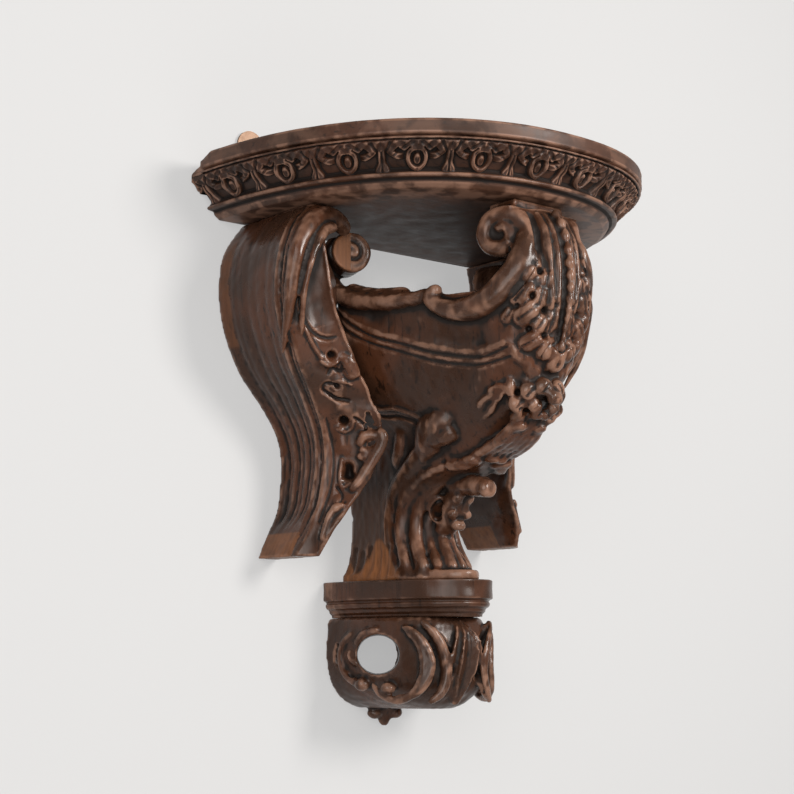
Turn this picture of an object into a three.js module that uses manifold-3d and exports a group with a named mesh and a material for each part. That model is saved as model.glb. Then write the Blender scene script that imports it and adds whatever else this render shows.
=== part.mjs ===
import * as THREE from 'three';
import { mergeVertices } from 'three/addons/utils/BufferGeometryUtils.js';
import Module from 'manifold-3d';

// Driving dimensions in millimetres: +X to the right, -Y out from the wall, +Z up

// Shelf: a half-round board over a carved cornice
const SHELF_HALF_WIDTH = 200;
const SHELF_DEPTH = 248;
const SHELF_ROUNDNESS = 2.22;
const BOARD_THICKNESS = 12;
const CORNICE_HEIGHT = 33.4;
const CORNICE_LEAN = 24;
const FRIEZE_HEIGHT = 21;
const LIP_WIDTH = 9;
const SHELF_GROOVE = 5;
const FRIEZE_UNIT = 43;
const END_TRIM = 5;
const CORNER_DEPTH = 36;
const CORNER_WIDTH = 30;

// Central bracket: an open bellied bowl over a leafed stem
const BODY_HEIGHT = 295;
const BODY_HALF_WIDTH = 94;
const BODY_DEPTH = 238;
const NECK_WIDTH = 56;
const RIM_THICKNESS = 24;
const RIM_PROUD = 4;
const VOLUTE_RADIUS = 17;
const SCROLL_BAND = 15;
const BEAD_RADIUS = 4.2;
const BAND_GROOVE = 3;
const FILLET_HEIGHT = 8;
const FILLET_HALF_WIDTH = 37;
const FILLET_DEPTH = 122;
const STEM_SINK = 0.035;

// Wings: two fluted slabs, S-curved like a lyre
const WING_HEIGHT = 277;
const WING_SPREAD = 167;
const WING_DEPTH = 98;
const WING_THICKNESS = 24;
const FLUTE_COUNT = 4;
const FLUTE_SINK = 3;
const RIGHT_WING_LIFT = 15;

// Plinth and the pierced scroll block below it
const PLINTH_HALF_WIDTH = 58;
const PLINTH_DEPTH = 128;
const PLINTH_HEIGHT = 29.5;
const BLOCK_HEIGHT = 74;
const BLOCK_HALF_WIDTH = 55;
const BLOCK_DEPTH = 112;
const RING_BORE = 35;
const PENDANT_DROP = 16.5;

// Brass hanging plates let into the back of the shelf
const PLATE_WIDTH = 26;
const PLATE_HEIGHT = 60;
const PLATE_THICKNESS = 2;
const PLATE_SPAN = 274;
const PLATE_RISE = 36;

// Gaps kept between neighbouring pieces, and between the wings and the rolled rims
const CLEARANCE = 0.3;
const RIM_GAP = 1.2;

// Heights worked out from the stack, with the mount at the middle of the cornice's back
const corniceTop = CORNICE_HEIGHT / 2;
const underside = -CORNICE_HEIGHT / 2;
const boardBottom = corniceTop + CLEARANCE;
const boardTop = boardBottom + BOARD_THICKNESS;
const bodyTop = underside - CLEARANCE;
const bodyFoot = bodyTop - BODY_HEIGHT;
const plinthTop = bodyFoot - CLEARANCE;
const plinthFoot = plinthTop - PLINTH_HEIGHT;
const blockTop = plinthFoot - CLEARANCE;
const blockFoot = blockTop - BLOCK_HEIGHT;

const wasm = await Module();
wasm.setup();

// A point from its place across the wall, its distance out from the wall and its height
const at = (across, out, up) => new THREE.Vector3(across, -out, up);

// Smooth values at a share along rows of [share, value, value...]
function along(rows, share) {
  const last = rows.length - 1;
  let i = 0;
  while (i < last - 1 && share > rows[i + 1][0]) i += 1;
  const span = rows[i + 1][0] - rows[i][0];
  const t = THREE.MathUtils.clamp((share - rows[i][0]) / span, 0, 1);
  const before = rows[Math.max(i - 1, 0)];
  const after = rows[Math.min(i + 2, last)];
  return rows[i].slice(1).map((value, k) => {
    const next = rows[i + 1][k + 1];
    const slopeIn = (next - before[k + 1]) / (rows[i + 1][0] - before[0]);
    const slopeOut = (after[k + 1] - value) / (after[0] - rows[i][0]);
    const a = 2 * t ** 3 - 3 * t ** 2 + 1;
    const b = t ** 3 - 2 * t ** 2 + t;
    const c = -2 * t ** 3 + 3 * t ** 2;
    const d = t ** 3 - t ** 2;
    return a * value + b * span * slopeIn + c * next + d * span * slopeOut;
  });
}

// Triangles that fill a ring in its own direction: a fan for a convex ring, otherwise by its plan
function fill(ring, convex) {
  if (convex) return ring.slice(2).map((p, i) => [0, i + 1, i + 2]);
  const plan = ring.map((p) => new THREE.Vector2(p.x, p.y));
  const turn = Math.sign(THREE.ShapeUtils.area(plan));
  return THREE.ShapeUtils.triangulateShape(plan, []).map(([a, b, c]) => (
    Math.sign(THREE.ShapeUtils.area([plan[a], plan[b], plan[c]])) === turn ? [a, b, c] : [a, c, b]
  ));
}

// A closed skin over rings of equal count, its two ends filled
function skin(rings, convex = false) {
  const count = rings[0].length;
  const position = rings.flat().flatMap((p) => [p.x, p.y, p.z]);
  const index = [];
  for (let r = 0; r < rings.length - 1; r += 1) {
    for (let i = 0; i < count; i += 1) {
      const a = r * count + i;
      const b = r * count + ((i + 1) % count);
      index.push(a, b, a + count, b, b + count, a + count);
    }
  }
  const end = (rings.length - 1) * count;
  for (const [a, b, c] of fill(rings[0], convex)) index.push(a, c, b);
  for (const [a, b, c] of fill(rings.at(-1), convex)) index.push(end + a, end + b, end + c);
  const geometry = new THREE.BufferGeometry();
  geometry.setAttribute('position', new THREE.Float32BufferAttribute(position, 3));
  geometry.setIndex(index);
  return geometry;
}

// A geometry as a solid, faces turned outwards
function solid(geometry) {
  const bare = geometry.clone();
  for (const name of ['normal', 'uv']) bare.deleteAttribute(name);
  const merged = mergeVertices(bare, 1e-3);
  const points = merged.attributes.position;
  const corners = merged.index.array;
  const kept = [];
  let volume = 0;
  const [a, b, c] = [new THREE.Vector3(), new THREE.Vector3(), new THREE.Vector3()];
  for (let i = 0; i < corners.length; i += 3) {
    const [p, q, r] = corners.slice(i, i + 3);
    if (p === q || q === r || r === p) continue;
    kept.push(p, q, r);
    a.fromBufferAttribute(points, p);
    b.fromBufferAttribute(points, q);
    c.fromBufferAttribute(points, r);
    volume += a.dot(b.cross(c));
  }
  if (volume < 0) kept.reverse();
  const mesh = new wasm.Mesh({
    numProp: 3,
    vertProperties: new Float32Array(points.array),
    triVerts: new Uint32Array(kept),
  });
  return new wasm.Manifold(mesh);
}

const joined = (first, ...rest) => rest.reduce((sum, piece) => sum.add(piece), first);
const cutBy = (first, ...rest) => rest.reduce((left, piece) => left.subtract(piece), first);

// A solid placed as a named mesh with its own material
function piece(name, body, finish) {
  const mesh = body.getMesh();
  const geometry = new THREE.BufferGeometry();
  geometry.setAttribute('position', new THREE.Float32BufferAttribute(mesh.vertProperties, 3));
  geometry.setIndex([...mesh.triVerts]);
  const placed = new THREE.Mesh(geometry, new THREE.MeshStandardMaterial(finish));
  placed.name = name;
  return placed;
}

// The same geometry handed to the other side of the middle plane
const mirrored = (geometry) => geometry.clone().applyMatrix4(new THREE.Matrix4().makeScale(-1, 1, 1));
const bothSides = (geometry) => [solid(geometry), solid(mirrored(geometry))];

function block(width, depth, height, centre) {
  return new THREE.BoxGeometry(width, depth, height).translate(centre.x, centre.y, centre.z);
}

// What lies in front of the wall and between two heights
function within(body, foot, top) {
  const reach = 2 * SHELF_DEPTH;
  return body.intersect(solid(block(reach * 2, reach, top - foot, at(0, reach / 2, (top + foot) / 2))));
}

// A lump of carving: an egg with its three half-sizes, turned about the upright axis
function lump(centre, across, out, up, turn = 0, sides = 5) {
  const egg = new THREE.SphereGeometry(1, sides, 4).scale(across, out, up);
  return egg.rotateZ(turn).translate(centre.x, centre.y, centre.z);
}

// A tapered bar along a curve, for ribs, stalks and curled leaf edges
function bar(points, radii, sides = 4, steps = 4) {
  const curve = new THREE.CatmullRomCurve3(points);
  const frames = curve.computeFrenetFrames(steps);
  const rings = [];
  for (let s = 0; s <= steps; s += 1) {
    const place = curve.getPoint(s / steps);
    const where = (s / steps) * (radii.length - 1);
    const low = Math.min(Math.floor(where), radii.length - 2);
    const radius = THREE.MathUtils.lerp(radii[low], radii[low + 1], where - low);
    const ring = [];
    for (let i = 0; i < sides; i += 1) {
      const angle = (i / sides) * 2 * Math.PI;
      const offset = frames.normals[s].clone().multiplyScalar(Math.cos(angle) * radius);
      ring.push(offset.addScaledVector(frames.binormals[s], Math.sin(angle) * radius).add(place));
    }
    rings.push(ring);
  }
  return skin(rings, true);
}

// Half-round outline of the shelf, moved in by an inset
function shelfRing(inset, up, count = 24) {
  const ring = [];
  const width = SHELF_HALF_WIDTH - inset;
  const depth = SHELF_DEPTH - inset;
  for (let i = 0; i <= count; i += 1) {
    const angle = (i / count) * Math.PI;
    const c = Math.cos(angle);
    const s = Math.sin(angle);
    const power = 2 / SHELF_ROUNDNESS;
    ring.push(at(width * Math.sign(c) * Math.abs(c) ** power, depth * s ** power, up));
  }
  return ring;
}

// A profile drawn in out and up, pushed along the wall
const alongWall = new THREE.Matrix4().makeBasis(at(0, 1, 0), at(0, 0, 1), at(1, 0, 0));
function pushed(outline, from, to) {
  const slab = new THREE.ExtrudeGeometry(outline, {
    depth: to - from,
    bevelEnabled: false,
    curveSegments: 8,
  });
  return slab.applyMatrix4(alongWall).translate(from, 0, 0);
}

// Wedge that takes off the worn back corner at the left end of the shelf, leaning in as it rises
function cornerWedge() {
  const rings = [[-0.2, boardBottom - BOARD_THICKNESS / 3], [1.1, boardTop + 1]].map(([share, up]) => [
    at(-SHELF_HALF_WIDTH - 4, CORNER_DEPTH * share, up),
    at(-SHELF_HALF_WIDTH + 4 + CORNER_WIDTH * share, -4, up),
    at(-SHELF_HALF_WIDTH - 4, -4, up),
  ]);
  return solid(skin(rings));
}

// Outline of a hanging plate and, with a margin, of the pocket it lies in
function plateBody(side, margin, front, back) {
  const half = PLATE_WIDTH / 2 + margin;
  const rise = PLATE_RISE + margin;
  const shape = new THREE.Shape();
  shape.moveTo(-half, rise - PLATE_HEIGHT - 2 * margin);
  shape.lineTo(half, rise - PLATE_HEIGHT - 2 * margin);
  shape.lineTo(half, rise - half);
  shape.absarc(0, rise - half, half, 0, Math.PI, false);
  const plate = new THREE.ExtrudeGeometry(shape, {
    depth: front + back,
    bevelEnabled: false,
    curveSegments: 8,
  });
  return solid(plate.rotateX(Math.PI / 2).translate((side * PLATE_SPAN) / 2, back, boardTop));
}

const pockets = [-1, 1].map((side) => plateBody(side, CLEARANCE, PLATE_THICKNESS + CLEARANCE, 1));

// Top board with its edges eased
function shelfBoard() {
  const ease = 1.5;
  const rings = [
    shelfRing(ease, boardBottom),
    shelfRing(0, boardBottom + ease),
    shelfRing(0, boardTop - ease),
    shelfRing(ease, boardTop),
  ];
  return cutBy(solid(skin(rings)), cornerWedge(), ...pockets);
}

// Places around the frieze, evenly spaced, each with its way out and its turn
function friezePlaces(inset, step) {
  const curve = new THREE.CatmullRomCurve3(shelfRing(inset, 0));
  const count = Math.round(curve.getLength() / step);
  const places = [];
  for (let i = 0; i < count; i += 1) {
    const share = (i + 0.5) / count;
    const tangent = curve.getTangentAt(share);
    places.push({ centre: curve.getPointAt(share), turn: Math.atan2(tangent.y, tangent.x) });
  }
  return places;
}

// Cornice: a lip of leaf tips, a leaning frieze of arched lobes, then a fillet, hollow and bead
function shelfCornice() {
  const friezeTop = corniceTop - 3;
  const friezeFoot = friezeTop - FRIEZE_HEIGHT;
  const profile = [
    [SHELF_GROOVE, corniceTop],
    [SHELF_GROOVE, corniceTop - 1.5],
    [1, friezeTop],
    [2, friezeTop - 3],
    [CORNICE_LEAN - 1, friezeFoot],
    [CORNICE_LEAN - 2, friezeFoot - 2],
    [CORNICE_LEAN + 3, friezeFoot - 4],
    [CORNICE_LEAN + 4, friezeFoot - 6],
    [CORNICE_LEAN + 7, underside + 2],
    [CORNICE_LEAN + LIP_WIDTH, underside],
  ];
  const board = solid(skin(profile.map(([inset, up]) => shelfRing(inset, up)).reverse()));
  const middle = CORNICE_LEAN / 2;
  const hollows = friezePlaces(middle - 1, FRIEZE_UNIT).map(({ centre, turn }) => {
    const place = centre.clone().setZ(friezeTop - FRIEZE_HEIGHT / 2 - 1);
    return solid(lump(place, FRIEZE_UNIT * 0.38, 5, FRIEZE_HEIGHT * 0.4, turn));
  });
  const tongues = friezePlaces(middle + 1.5, FRIEZE_UNIT).map(({ centre, turn }) => {
    const place = centre.clone().setZ(friezeTop - FRIEZE_HEIGHT * 0.6);
    return solid(lump(place, FRIEZE_UNIT * 0.14, 4, FRIEZE_HEIGHT * 0.26, turn, 4));
  });
  const trim = block(2 * END_TRIM, CORNER_DEPTH, CORNICE_HEIGHT * 2, at(-SHELF_HALF_WIDTH, 0, 0));
  return cutBy(joined(cutBy(board, ...hollows), ...tongues), solid(trim), cornerWedge(), ...pockets);
}

// Rows down the bracket: share of its height, then half-width at the wall, depth and half-width of
// the shoulder, depth and half-width where the nose starts, and depth of the nose, as shares
const bodyRows = [
  [0.22, 0.98, 0.29, 0.98, 0.79, 0.47, 0.99],
  [0.285, 0.99, 0.315, 1.0, 0.79, 0.48, 0.985],
  [0.353, 0.98, 0.33, 0.98, 0.775, 0.475, 0.96],
  [0.42, 0.89, 0.315, 0.89, 0.74, 0.455, 0.935],
  [0.488, 0.79, 0.294, 0.79, 0.7, 0.435, 0.9],
  [0.539, 0.68, 0.273, 0.66, 0.645, 0.415, 0.84],
  [0.59, 0.48, 0.23, 0.47, 0.58, 0.375, 0.775],
  [0.64, 0.36, 0.21, 0.36, 0.49, 0.335, 0.7],
  [0.69, 0.34, 0.24, 0.35, 0.42, 0.33, 0.6],
  [0.76, 0.31, 0.215, 0.35, 0.31, 0.3, 0.42],
  [0.86, 0.293, 0.2, 0.35, 0.29, 0.28, 0.362],
  [0.93, 0.325, 0.22, 0.36, 0.325, 0.29, 0.395],
  [0.973, 0.37, 0.24, 0.38, 0.36, 0.33, 0.44],
];

const bodyShare = (up) => (bodyTop - up) / BODY_HEIGHT;
const bodyUp = (share) => bodyTop - share * BODY_HEIGHT;

function bodySizes(share) {
  const [wall, shoulderOut, shoulder, noseOut, nose, front] = along(bodyRows, share);
  return {
    wall: wall * BODY_HALF_WIDTH,
    shoulderOut: shoulderOut * BODY_DEPTH,
    shoulder: shoulder * BODY_HALF_WIDTH,
    noseOut: noseOut * BODY_DEPTH,
    nose: nose * BODY_HALF_WIDTH,
    front: front * BODY_DEPTH,
  };
}

// Half-width of the bracket at a place, from its rows
function bodyHalf(out, up) {
  const size = bodySizes(bodyShare(up));
  if (out <= size.shoulderOut) {
    return THREE.MathUtils.lerp(size.wall, size.shoulder, out / size.shoulderOut);
  }
  if (out <= size.noseOut) {
    const t = (out - size.shoulderOut) / (size.noseOut - size.shoulderOut);
    return THREE.MathUtils.lerp(size.shoulder, size.nose, t) + 3 * Math.sin(Math.PI * t);
  }
  const reach = Math.min((out - size.noseOut) / (size.front - size.noseOut), 1);
  return size.nose * Math.sqrt(1 - reach ** 2);
}

function bodyRing(share, margin = 0) {
  const size = bodySizes(share);
  size.wall += margin;
  const up = bodyUp(share);
  const half = [at(size.wall, 0, up)];
  for (const t of [0, 0.5]) {
    const out = THREE.MathUtils.lerp(size.shoulderOut, size.noseOut, t);
    half.push(at(bodyHalf(out, up) + margin, out, up));
  }
  for (const angle of [0, 0.35, 0.7]) {
    const turn = (angle * Math.PI) / 2;
    const out = size.noseOut + (size.front - size.noseOut) * Math.sin(turn);
    half.push(at(size.nose * Math.cos(turn), out, up));
  }
  const other = half.map((p) => p.clone().setX(-p.x)).reverse();
  return [...half, at(0, size.front, up), ...other];
}

// Outline of a curved band, from points of [out, up] and its widths along them
function bandShape(points, widths, steps = 8) {
  const curve = new THREE.SplineCurve(points.map(([out, up]) => new THREE.Vector2(out, up)));
  const left = [];
  const right = [];
  for (let s = 0; s <= steps; s += 1) {
    const t = s / steps;
    const place = curve.getPoint(t);
    const tangent = curve.getTangent(t);
    const where = t * (widths.length - 1);
    const low = Math.min(Math.floor(where), widths.length - 2);
    const half = THREE.MathUtils.lerp(widths[low], widths[low + 1], where - low) / 2;
    const normal = new THREE.Vector2(-tangent.y, tangent.x).multiplyScalar(half);
    left.push(place.clone().add(normal));
    right.unshift(place.clone().sub(normal));
  }
  return new THREE.Shape([...left, ...right]);
}

// A band set on the bracket's right side, following the side's own slant
function sideBand(points, widths, inner, outer) {
  const band = pushed(bandShape(points, widths), -inner, outer);
  const position = band.attributes.position;
  for (let i = 0; i < position.count; i += 1) {
    const half = bodyHalf(-position.getY(i), bodyUp(0.3));
    position.setX(i, position.getX(i) + half);
  }
  return band;
}

// Open bowl rims, the rear ones local to each side, the front one a scroll right across
const rimUp = (share) => bodyUp(share);
const rearVolute = { out: 0.335 * BODY_DEPTH, up: rimUp(0.102) };
const frontVolute = { out: 0.857 * BODY_DEPTH, up: rimUp(0.102) };

function rearRim() {
  const { out, up } = rearVolute;
  const points = [
    [out - VOLUTE_RADIUS * 0.6, up + VOLUTE_RADIUS * 0.55],
    [out - VOLUTE_RADIUS * 1.25, up - 2],
    [out - VOLUTE_RADIUS * 0.7, up - VOLUTE_RADIUS * 1.75],
    [out + VOLUTE_RADIUS * 0.7, up - VOLUTE_RADIUS * 2.5],
    [out + VOLUTE_RADIUS * 2.4, up - VOLUTE_RADIUS * 2.65],
    [out + VOLUTE_RADIUS * 3.5, up - VOLUTE_RADIUS * 3.1],
    [out + VOLUTE_RADIUS * 4, up - VOLUTE_RADIUS * 2.85],
  ];
  const widths = [9, 10, 12, 13, 12, 10, 7];
  const band = sideBand(points, widths, RIM_THICKNESS, RIM_PROUD);
  const roll = new THREE.CylinderGeometry(VOLUTE_RADIUS, VOLUTE_RADIUS, RIM_THICKNESS + 10, 12);
  roll.rotateZ(Math.PI / 2);
  roll.translate(bodyHalf(out, up - 20) - RIM_THICKNESS / 2 + RIM_PROUD, -out, up);
  return [...bothSides(band), ...bothSides(roll)];
}

function frontScroll() {
  const { out, up } = frontVolute;
  const reach = BODY_DEPTH - SCROLL_BAND / 2;
  const points = [
    [out - 50, up - VOLUTE_RADIUS * 3.2],
    [out - 15, up - VOLUTE_RADIUS * 3.2],
    [out + 8, up - VOLUTE_RADIUS * 2.4],
    [reach, up - VOLUTE_RADIUS * 1.4],
    [reach, up - VOLUTE_RADIUS * 0.2],
    [out + 15, up + VOLUTE_RADIUS * 0.6],
    [out, up + VOLUTE_RADIUS * 0.8],
  ];
  const widths = [12, 14, SCROLL_BAND, SCROLL_BAND, SCROLL_BAND, 12, 8];
  const nose = 0.47 * BODY_HALF_WIDTH;
  const band = solid(pushed(bandShape(points, widths), -nose, nose));
  const column = [rimUp(0.5), rimUp(-0.05)].map((height) => {
    const half = [at(nose, out - 60, height), at(nose, 0.8 * BODY_DEPTH, height)];
    for (const turn of [0.4, 0.8, 1.2]) {
      half.push(at(nose * Math.cos(turn), (0.8 + 0.2 * Math.sin(turn)) * BODY_DEPTH, height));
    }
    const other = half.map((p) => p.clone().setX(-p.x)).reverse();
    return [...half, at(0, BODY_DEPTH, height), ...other];
  });
  const roll = new THREE.CylinderGeometry(VOLUTE_RADIUS, VOLUTE_RADIUS, 2 * nose - 2, 12);
  roll.rotateZ(Math.PI / 2);
  const neckHeight = bodyTop - up;
  const neck = block(NECK_WIDTH, 28, neckHeight, at(0, out - 14, up + neckHeight / 2));
  const curl = sideBand([
    [out - VOLUTE_RADIUS * 2.6, up - VOLUTE_RADIUS * 2.3],
    [out - VOLUTE_RADIUS * 2.75, up - VOLUTE_RADIUS * 3],
    [out - VOLUTE_RADIUS * 1.8, up - VOLUTE_RADIUS * 3.5],
    [out - VOLUTE_RADIUS * 0.4, up - VOLUTE_RADIUS * 3.1],
    [out + VOLUTE_RADIUS * 0.6, up - VOLUTE_RADIUS * 2.3],
  ], [9, 11, 12, 12, 12], RIM_THICKNESS, RIM_PROUD);
  return [
    band.intersect(solid(skin(column))),
    solid(roll.translate(0, -out, up)),
    solid(neck),
    ...bothSides(curl),
  ];
}

// Front acanthus: a string of beads down the middle, ribs beside it and drilled lobes at its edges
const frontLine = [
  [0.055, 0.9], [0.07, 0.955], [0.105, 0.982], [0.15, 0.995], [0.2, 1.002],
  [0.25, 1.0], [0.3, 0.99], [0.35, 0.972], [0.39, 0.955],
];

function frontLeaf() {
  const spine = frontLine.map(([share, out]) => at(0, out * BODY_DEPTH, rimUp(share)));
  const beads = spine.map((place) => solid(lump(place, BEAD_RADIUS, BEAD_RADIUS, BEAD_RADIUS * 1.5, 0, 4)));
  const pieces = [...beads];
  for (const spread of [10, 21]) {
    const reach = spread > 15 ? 7 : 9;
    const drop = 1 - (spread / 60) ** 2;
    const rib = spine.slice(0, reach).map((p) => at(spread, -p.y * drop ** 0.35 - 1, p.z));
    pieces.push(...bothSides(bar(rib, [2.5, 3.4, 3.6, 3, 2])));
  }
  const lobes = [[0.15, 38, 0.915], [0.22, 42, 0.9], [0.29, 38, 0.915], [0.355, 29, 0.94]];
  for (const [share, spread, out] of lobes) {
    const place = at(spread, out * BODY_DEPTH, rimUp(share));
    pieces.push(...bothSides(lump(place, 9, 8, 11, 0.6)));
  }
  return pieces;
}

// Lower leafwork under the belly, and the collar above it
function bellyLeaves() {
  const rows = [
    [0.475, 0, 0.93, 9, 8, 7], [0.47, 22, 0.885, 10, 8, 7], [0.53, 12, 0.85, 11, 9, 9],
    [0.5, 38, 0.785, 8, 9, 8], [0.56, 30, 0.765, 12, 10, 9], [0.6, 13, 0.765, 12, 10, 8],
    [0.64, 22, 0.675, 13, 12, 8], [0.68, 6, 0.63, 9, 9, 8], [0.72, 6, 0.53, 8, 16, 9],
  ];
  return rows.flatMap(([share, across, out, a, b, c]) => {
    const leaf = lump(at(across, out * BODY_DEPTH, rimUp(share)), a, b, c, 0.5);
    return across === 0 ? [solid(leaf)] : bothSides(leaf);
  });
}

// Leaves that climb the stem, given as rows of share down, half-width and depth
const stemLeaves = [
  {
    rows: [[0.97, 36, 66], [0.83, 34, 58], [0.7, 37, 72], [0.62, 42, 100], [0.58, 45, 130]],
    radii: [5, 6, 7, 8, 5],
  },
  { rows: [[0.74, 36, 66], [0.66, 40, 74], [0.6, 43, 86], [0.555, 44, 94]], radii: [3, 5, 5, 2] },
  {
    rows: [[0.97, 29, 84], [0.84, 28, 72], [0.74, 31, 88], [0.68, 36, 118], [0.67, 37, 136]],
    radii: [4, 5, 6, 6, 4],
  },
  { rows: [[0.97, 18, 98], [0.88, 15, 86], [0.8, 16, 88], [0.755, 19, 106]], radii: [4, 4, 4, 3] },
];

function stemLeafwork() {
  return stemLeaves.flatMap(({ rows, radii }) => {
    const points = rows.map(([share, across, out]) => at(across, out, rimUp(share)));
    return bothSides(bar(points, radii));
  });
}

// Line cut round each side of the belly, dipping towards the front
function sideGroove() {
  const rows = [
    [0.29, 0.34], [0.34, 0.4], [0.38, 0.53], [0.415, 0.63], [0.45, 0.75], [0.455, 0.82], [0.44, 0.9],
  ];
  const points = rows.map(([share, out]) => {
    const up = rimUp(share);
    const depth = out * BODY_DEPTH;
    return at(bodyHalf(depth, up) + 0.6, depth, up);
  });
  return bothSides(bar(points, [BAND_GROOVE, BAND_GROOVE], 3, 7));
}

// Rings of the bowl and the stem, the last one sunk into the fillet that the stem stands on
const stemFootShare = 1 - (FILLET_HEIGHT - STEM_SINK) / BODY_HEIGHT;
const bowlShares = [0.25, 0.3, 0.353, 0.42, 0.488, 0.539, 0.59, 0.64, 0.69, 0.76, 0.86, 0.93, stemFootShare];
const bowl = (margin) => solid(skin(bowlShares.map((share) => bodyRing(share, margin)).reverse()));

function bracketBody() {
  const fillet = solid(skin([0, FILLET_HEIGHT].map((rise) => {
    const ring = [];
    for (let i = 0; i <= 16; i += 1) {
      const angle = (i / 16) * Math.PI;
      const out = FILLET_DEPTH * Math.sin(angle) ** 0.8;
      ring.push(at(FILLET_HALF_WIDTH * Math.cos(angle), out, bodyFoot + rise));
    }
    return ring;
  })));
  const whole = joined(bowl(0), fillet, ...rearRim(), ...frontScroll(), ...frontLeaf(), ...bellyLeaves(),
    ...stemLeafwork());
  return within(cutBy(whole, ...sideGroove()), bodyFoot, bodyTop);
}

// Wing rows: share of its height, outer face across, thickness at the wall, depth where the flutes
// end, whole depth, and how far the leafed edge turns in
const wingRows = [
  [0, 0.856, 34, 0.9, 0.98, 14],
  [0.09, 0.965, 49, 0.95, 1.05, 22],
  [0.19, 1, 70, 0.93, 1.08, 30],
  [0.3, 0.982, 68, 0.88, 1.06, 35],
  [0.38, 0.938, 60, 0.85, 1.03, 40],
  [0.46, 0.865, 51, 0.79, 0.98, 42],
  [0.55, 0.738, 36, 0.69, 0.96, 38],
  [0.64, 0.641, 26, 0.62, 0.955, 33],
  [0.71, 0.617, 24, 0.6, 0.905, 28],
  [0.79, 0.623, 24, 0.58, 0.85, 22],
  [0.86, 0.641, 23, 0.55, 0.78, 14],
  [0.92, 0.69, 22, 0.51, 0.73, 11],
  [1, 0.755, 20, 0.44, 0.62, 14],
];

function wingRing(share, top, height) {
  const [acrossShare, wallThick, fluteShare, depthShare, turn] = along(wingRows, share);
  const outer = acrossShare * WING_SPREAD;
  const fluteEnd = fluteShare * WING_DEPTH;
  const depth = depthShare * WING_DEPTH;
  const up = top - share * height;
  const inner = outer - wallThick;
  const ring = [at(outer, 0, up)];
  for (let i = 0; i <= FLUTE_COUNT * 2; i += 1) {
    const out = 10 + ((fluteEnd - 14) * i) / (FLUTE_COUNT * 2);
    ring.push(at(outer - (i % 2 ? FLUTE_SINK : 0), out, up));
  }
  ring.push(at(outer + 2, fluteEnd - 2, up), at(outer + 1, fluteEnd + 4, up));
  const edge = outer - turn;
  ring.push(at(edge + 2, depth - 4, up));
  ring.push(at(edge - 4, depth, up));
  const inset = Math.min(inner, edge - WING_THICKNESS / 3);
  ring.push(at(Math.max(edge - WING_THICKNESS / 2, inset), depth - 9, up), at(inner, depth * 0.62, up));
  ring.push(at(inner, 0, up));
  return ring;
}

// One wing, with lobes and curls of acanthus along its front edge
function wing(side, lift) {
  const height = WING_HEIGHT - lift;
  const top = bodyTop;
  const shares = [0, 0.1, 0.2, 0.3, 0.4, 0.48, 0.56, 0.64, 0.72, 0.8, 0.86, 0.92, 1];
  const slab = skin(shares.map((share) => wingRing(share, top, height)).reverse());
  const lobes = [0.38, 0.47, 0.56, 0.66, 0.78].map((share) => {
    const [acrossShare, , , depthShare, turn] = along(wingRows, share);
    const across = acrossShare * WING_SPREAD - turn - 2;
    return lump(at(across, depthShare * WING_DEPTH - 8, top - share * height), 8, 9, 7, -0.5);
  });
  const hand = side < 0 ? mirrored : (geometry) => geometry;
  const whole = joined(...[slab, ...lobes].map((geometry) => solid(hand(geometry))));
  const roomWidth = 2 * (BODY_HALF_WIDTH + RIM_PROUD + RIM_GAP);
  const roomCentre = at(0, rearVolute.out + VOLUTE_RADIUS * 1.5, rearVolute.up);
  const rimRoom = block(roomWidth, VOLUTE_RADIUS * 7, VOLUTE_RADIUS * 6, roomCentre);
  return within(cutBy(whole, bowl(CLEARANCE), solid(rimRoom)), bodyFoot, bodyTop);
}

// A half-round outline for the plinth and the block, moved in by an inset
function footRing(halfWidth, depth, roundness, inset, up, count = 12) {
  const ring = [];
  for (let i = 0; i <= count; i += 1) {
    const angle = (i / count) * Math.PI;
    const c = Math.cos(angle);
    const power = 2 / roundness;
    const across = (halfWidth - inset) * Math.sign(c) * Math.abs(c) ** power;
    ring.push(at(across, (depth - inset) * Math.sin(angle) ** power, up));
  }
  return ring;
}

// Plinth: a plain fascia over two stepped mouldings
function plinth() {
  const profile = [
    [0.5, 0], [0, 1], [0, 12], [2.5, 13.5], [3.5, 14.5],
    [3.5, 18], [6, 19], [6.5, 23], [9, 25], [9, PLINTH_HEIGHT],
  ];
  const rings = profile.map(([inset, drop]) => (
    footRing(PLINTH_HALF_WIDTH, PLINTH_DEPTH, 2.2, inset, plinthTop - drop)
  ));
  return solid(skin(rings.reverse()));
}

// Scroll block: a pierced ring at each side, a notched leaf in front and a small leaf hanging below
const RING_TURN = 0.69;
const ringCentre = { across: 50, out: 62, up: blockTop - 0.405 * BLOCK_HEIGHT };

// A point on the block's skin, found along the bore's direction from a place round its mouth
function onBlock(sideways, rise, proud) {
  const reach = (lift) => {
    const across = ringCentre.across - Math.cos(RING_TURN) * sideways + Math.sin(RING_TURN) * lift;
    const out = ringCentre.out + Math.sin(RING_TURN) * sideways + Math.cos(RING_TURN) * lift;
    return [across, out];
  };
  let inside = -60;
  let outside = 60;
  for (let i = 0; i < 20; i += 1) {
    const middle = (inside + outside) / 2;
    const [across, out] = reach(middle);
    const share = (Math.abs(across) / BLOCK_HALF_WIDTH) ** 3.1 + (Math.max(out, 0) / BLOCK_DEPTH) ** 3.1;
    if (share < 1) inside = middle;
    else outside = middle;
  }
  const [across, out] = reach(inside + proud);
  return at(across, out, ringCentre.up + rise);
}

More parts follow.
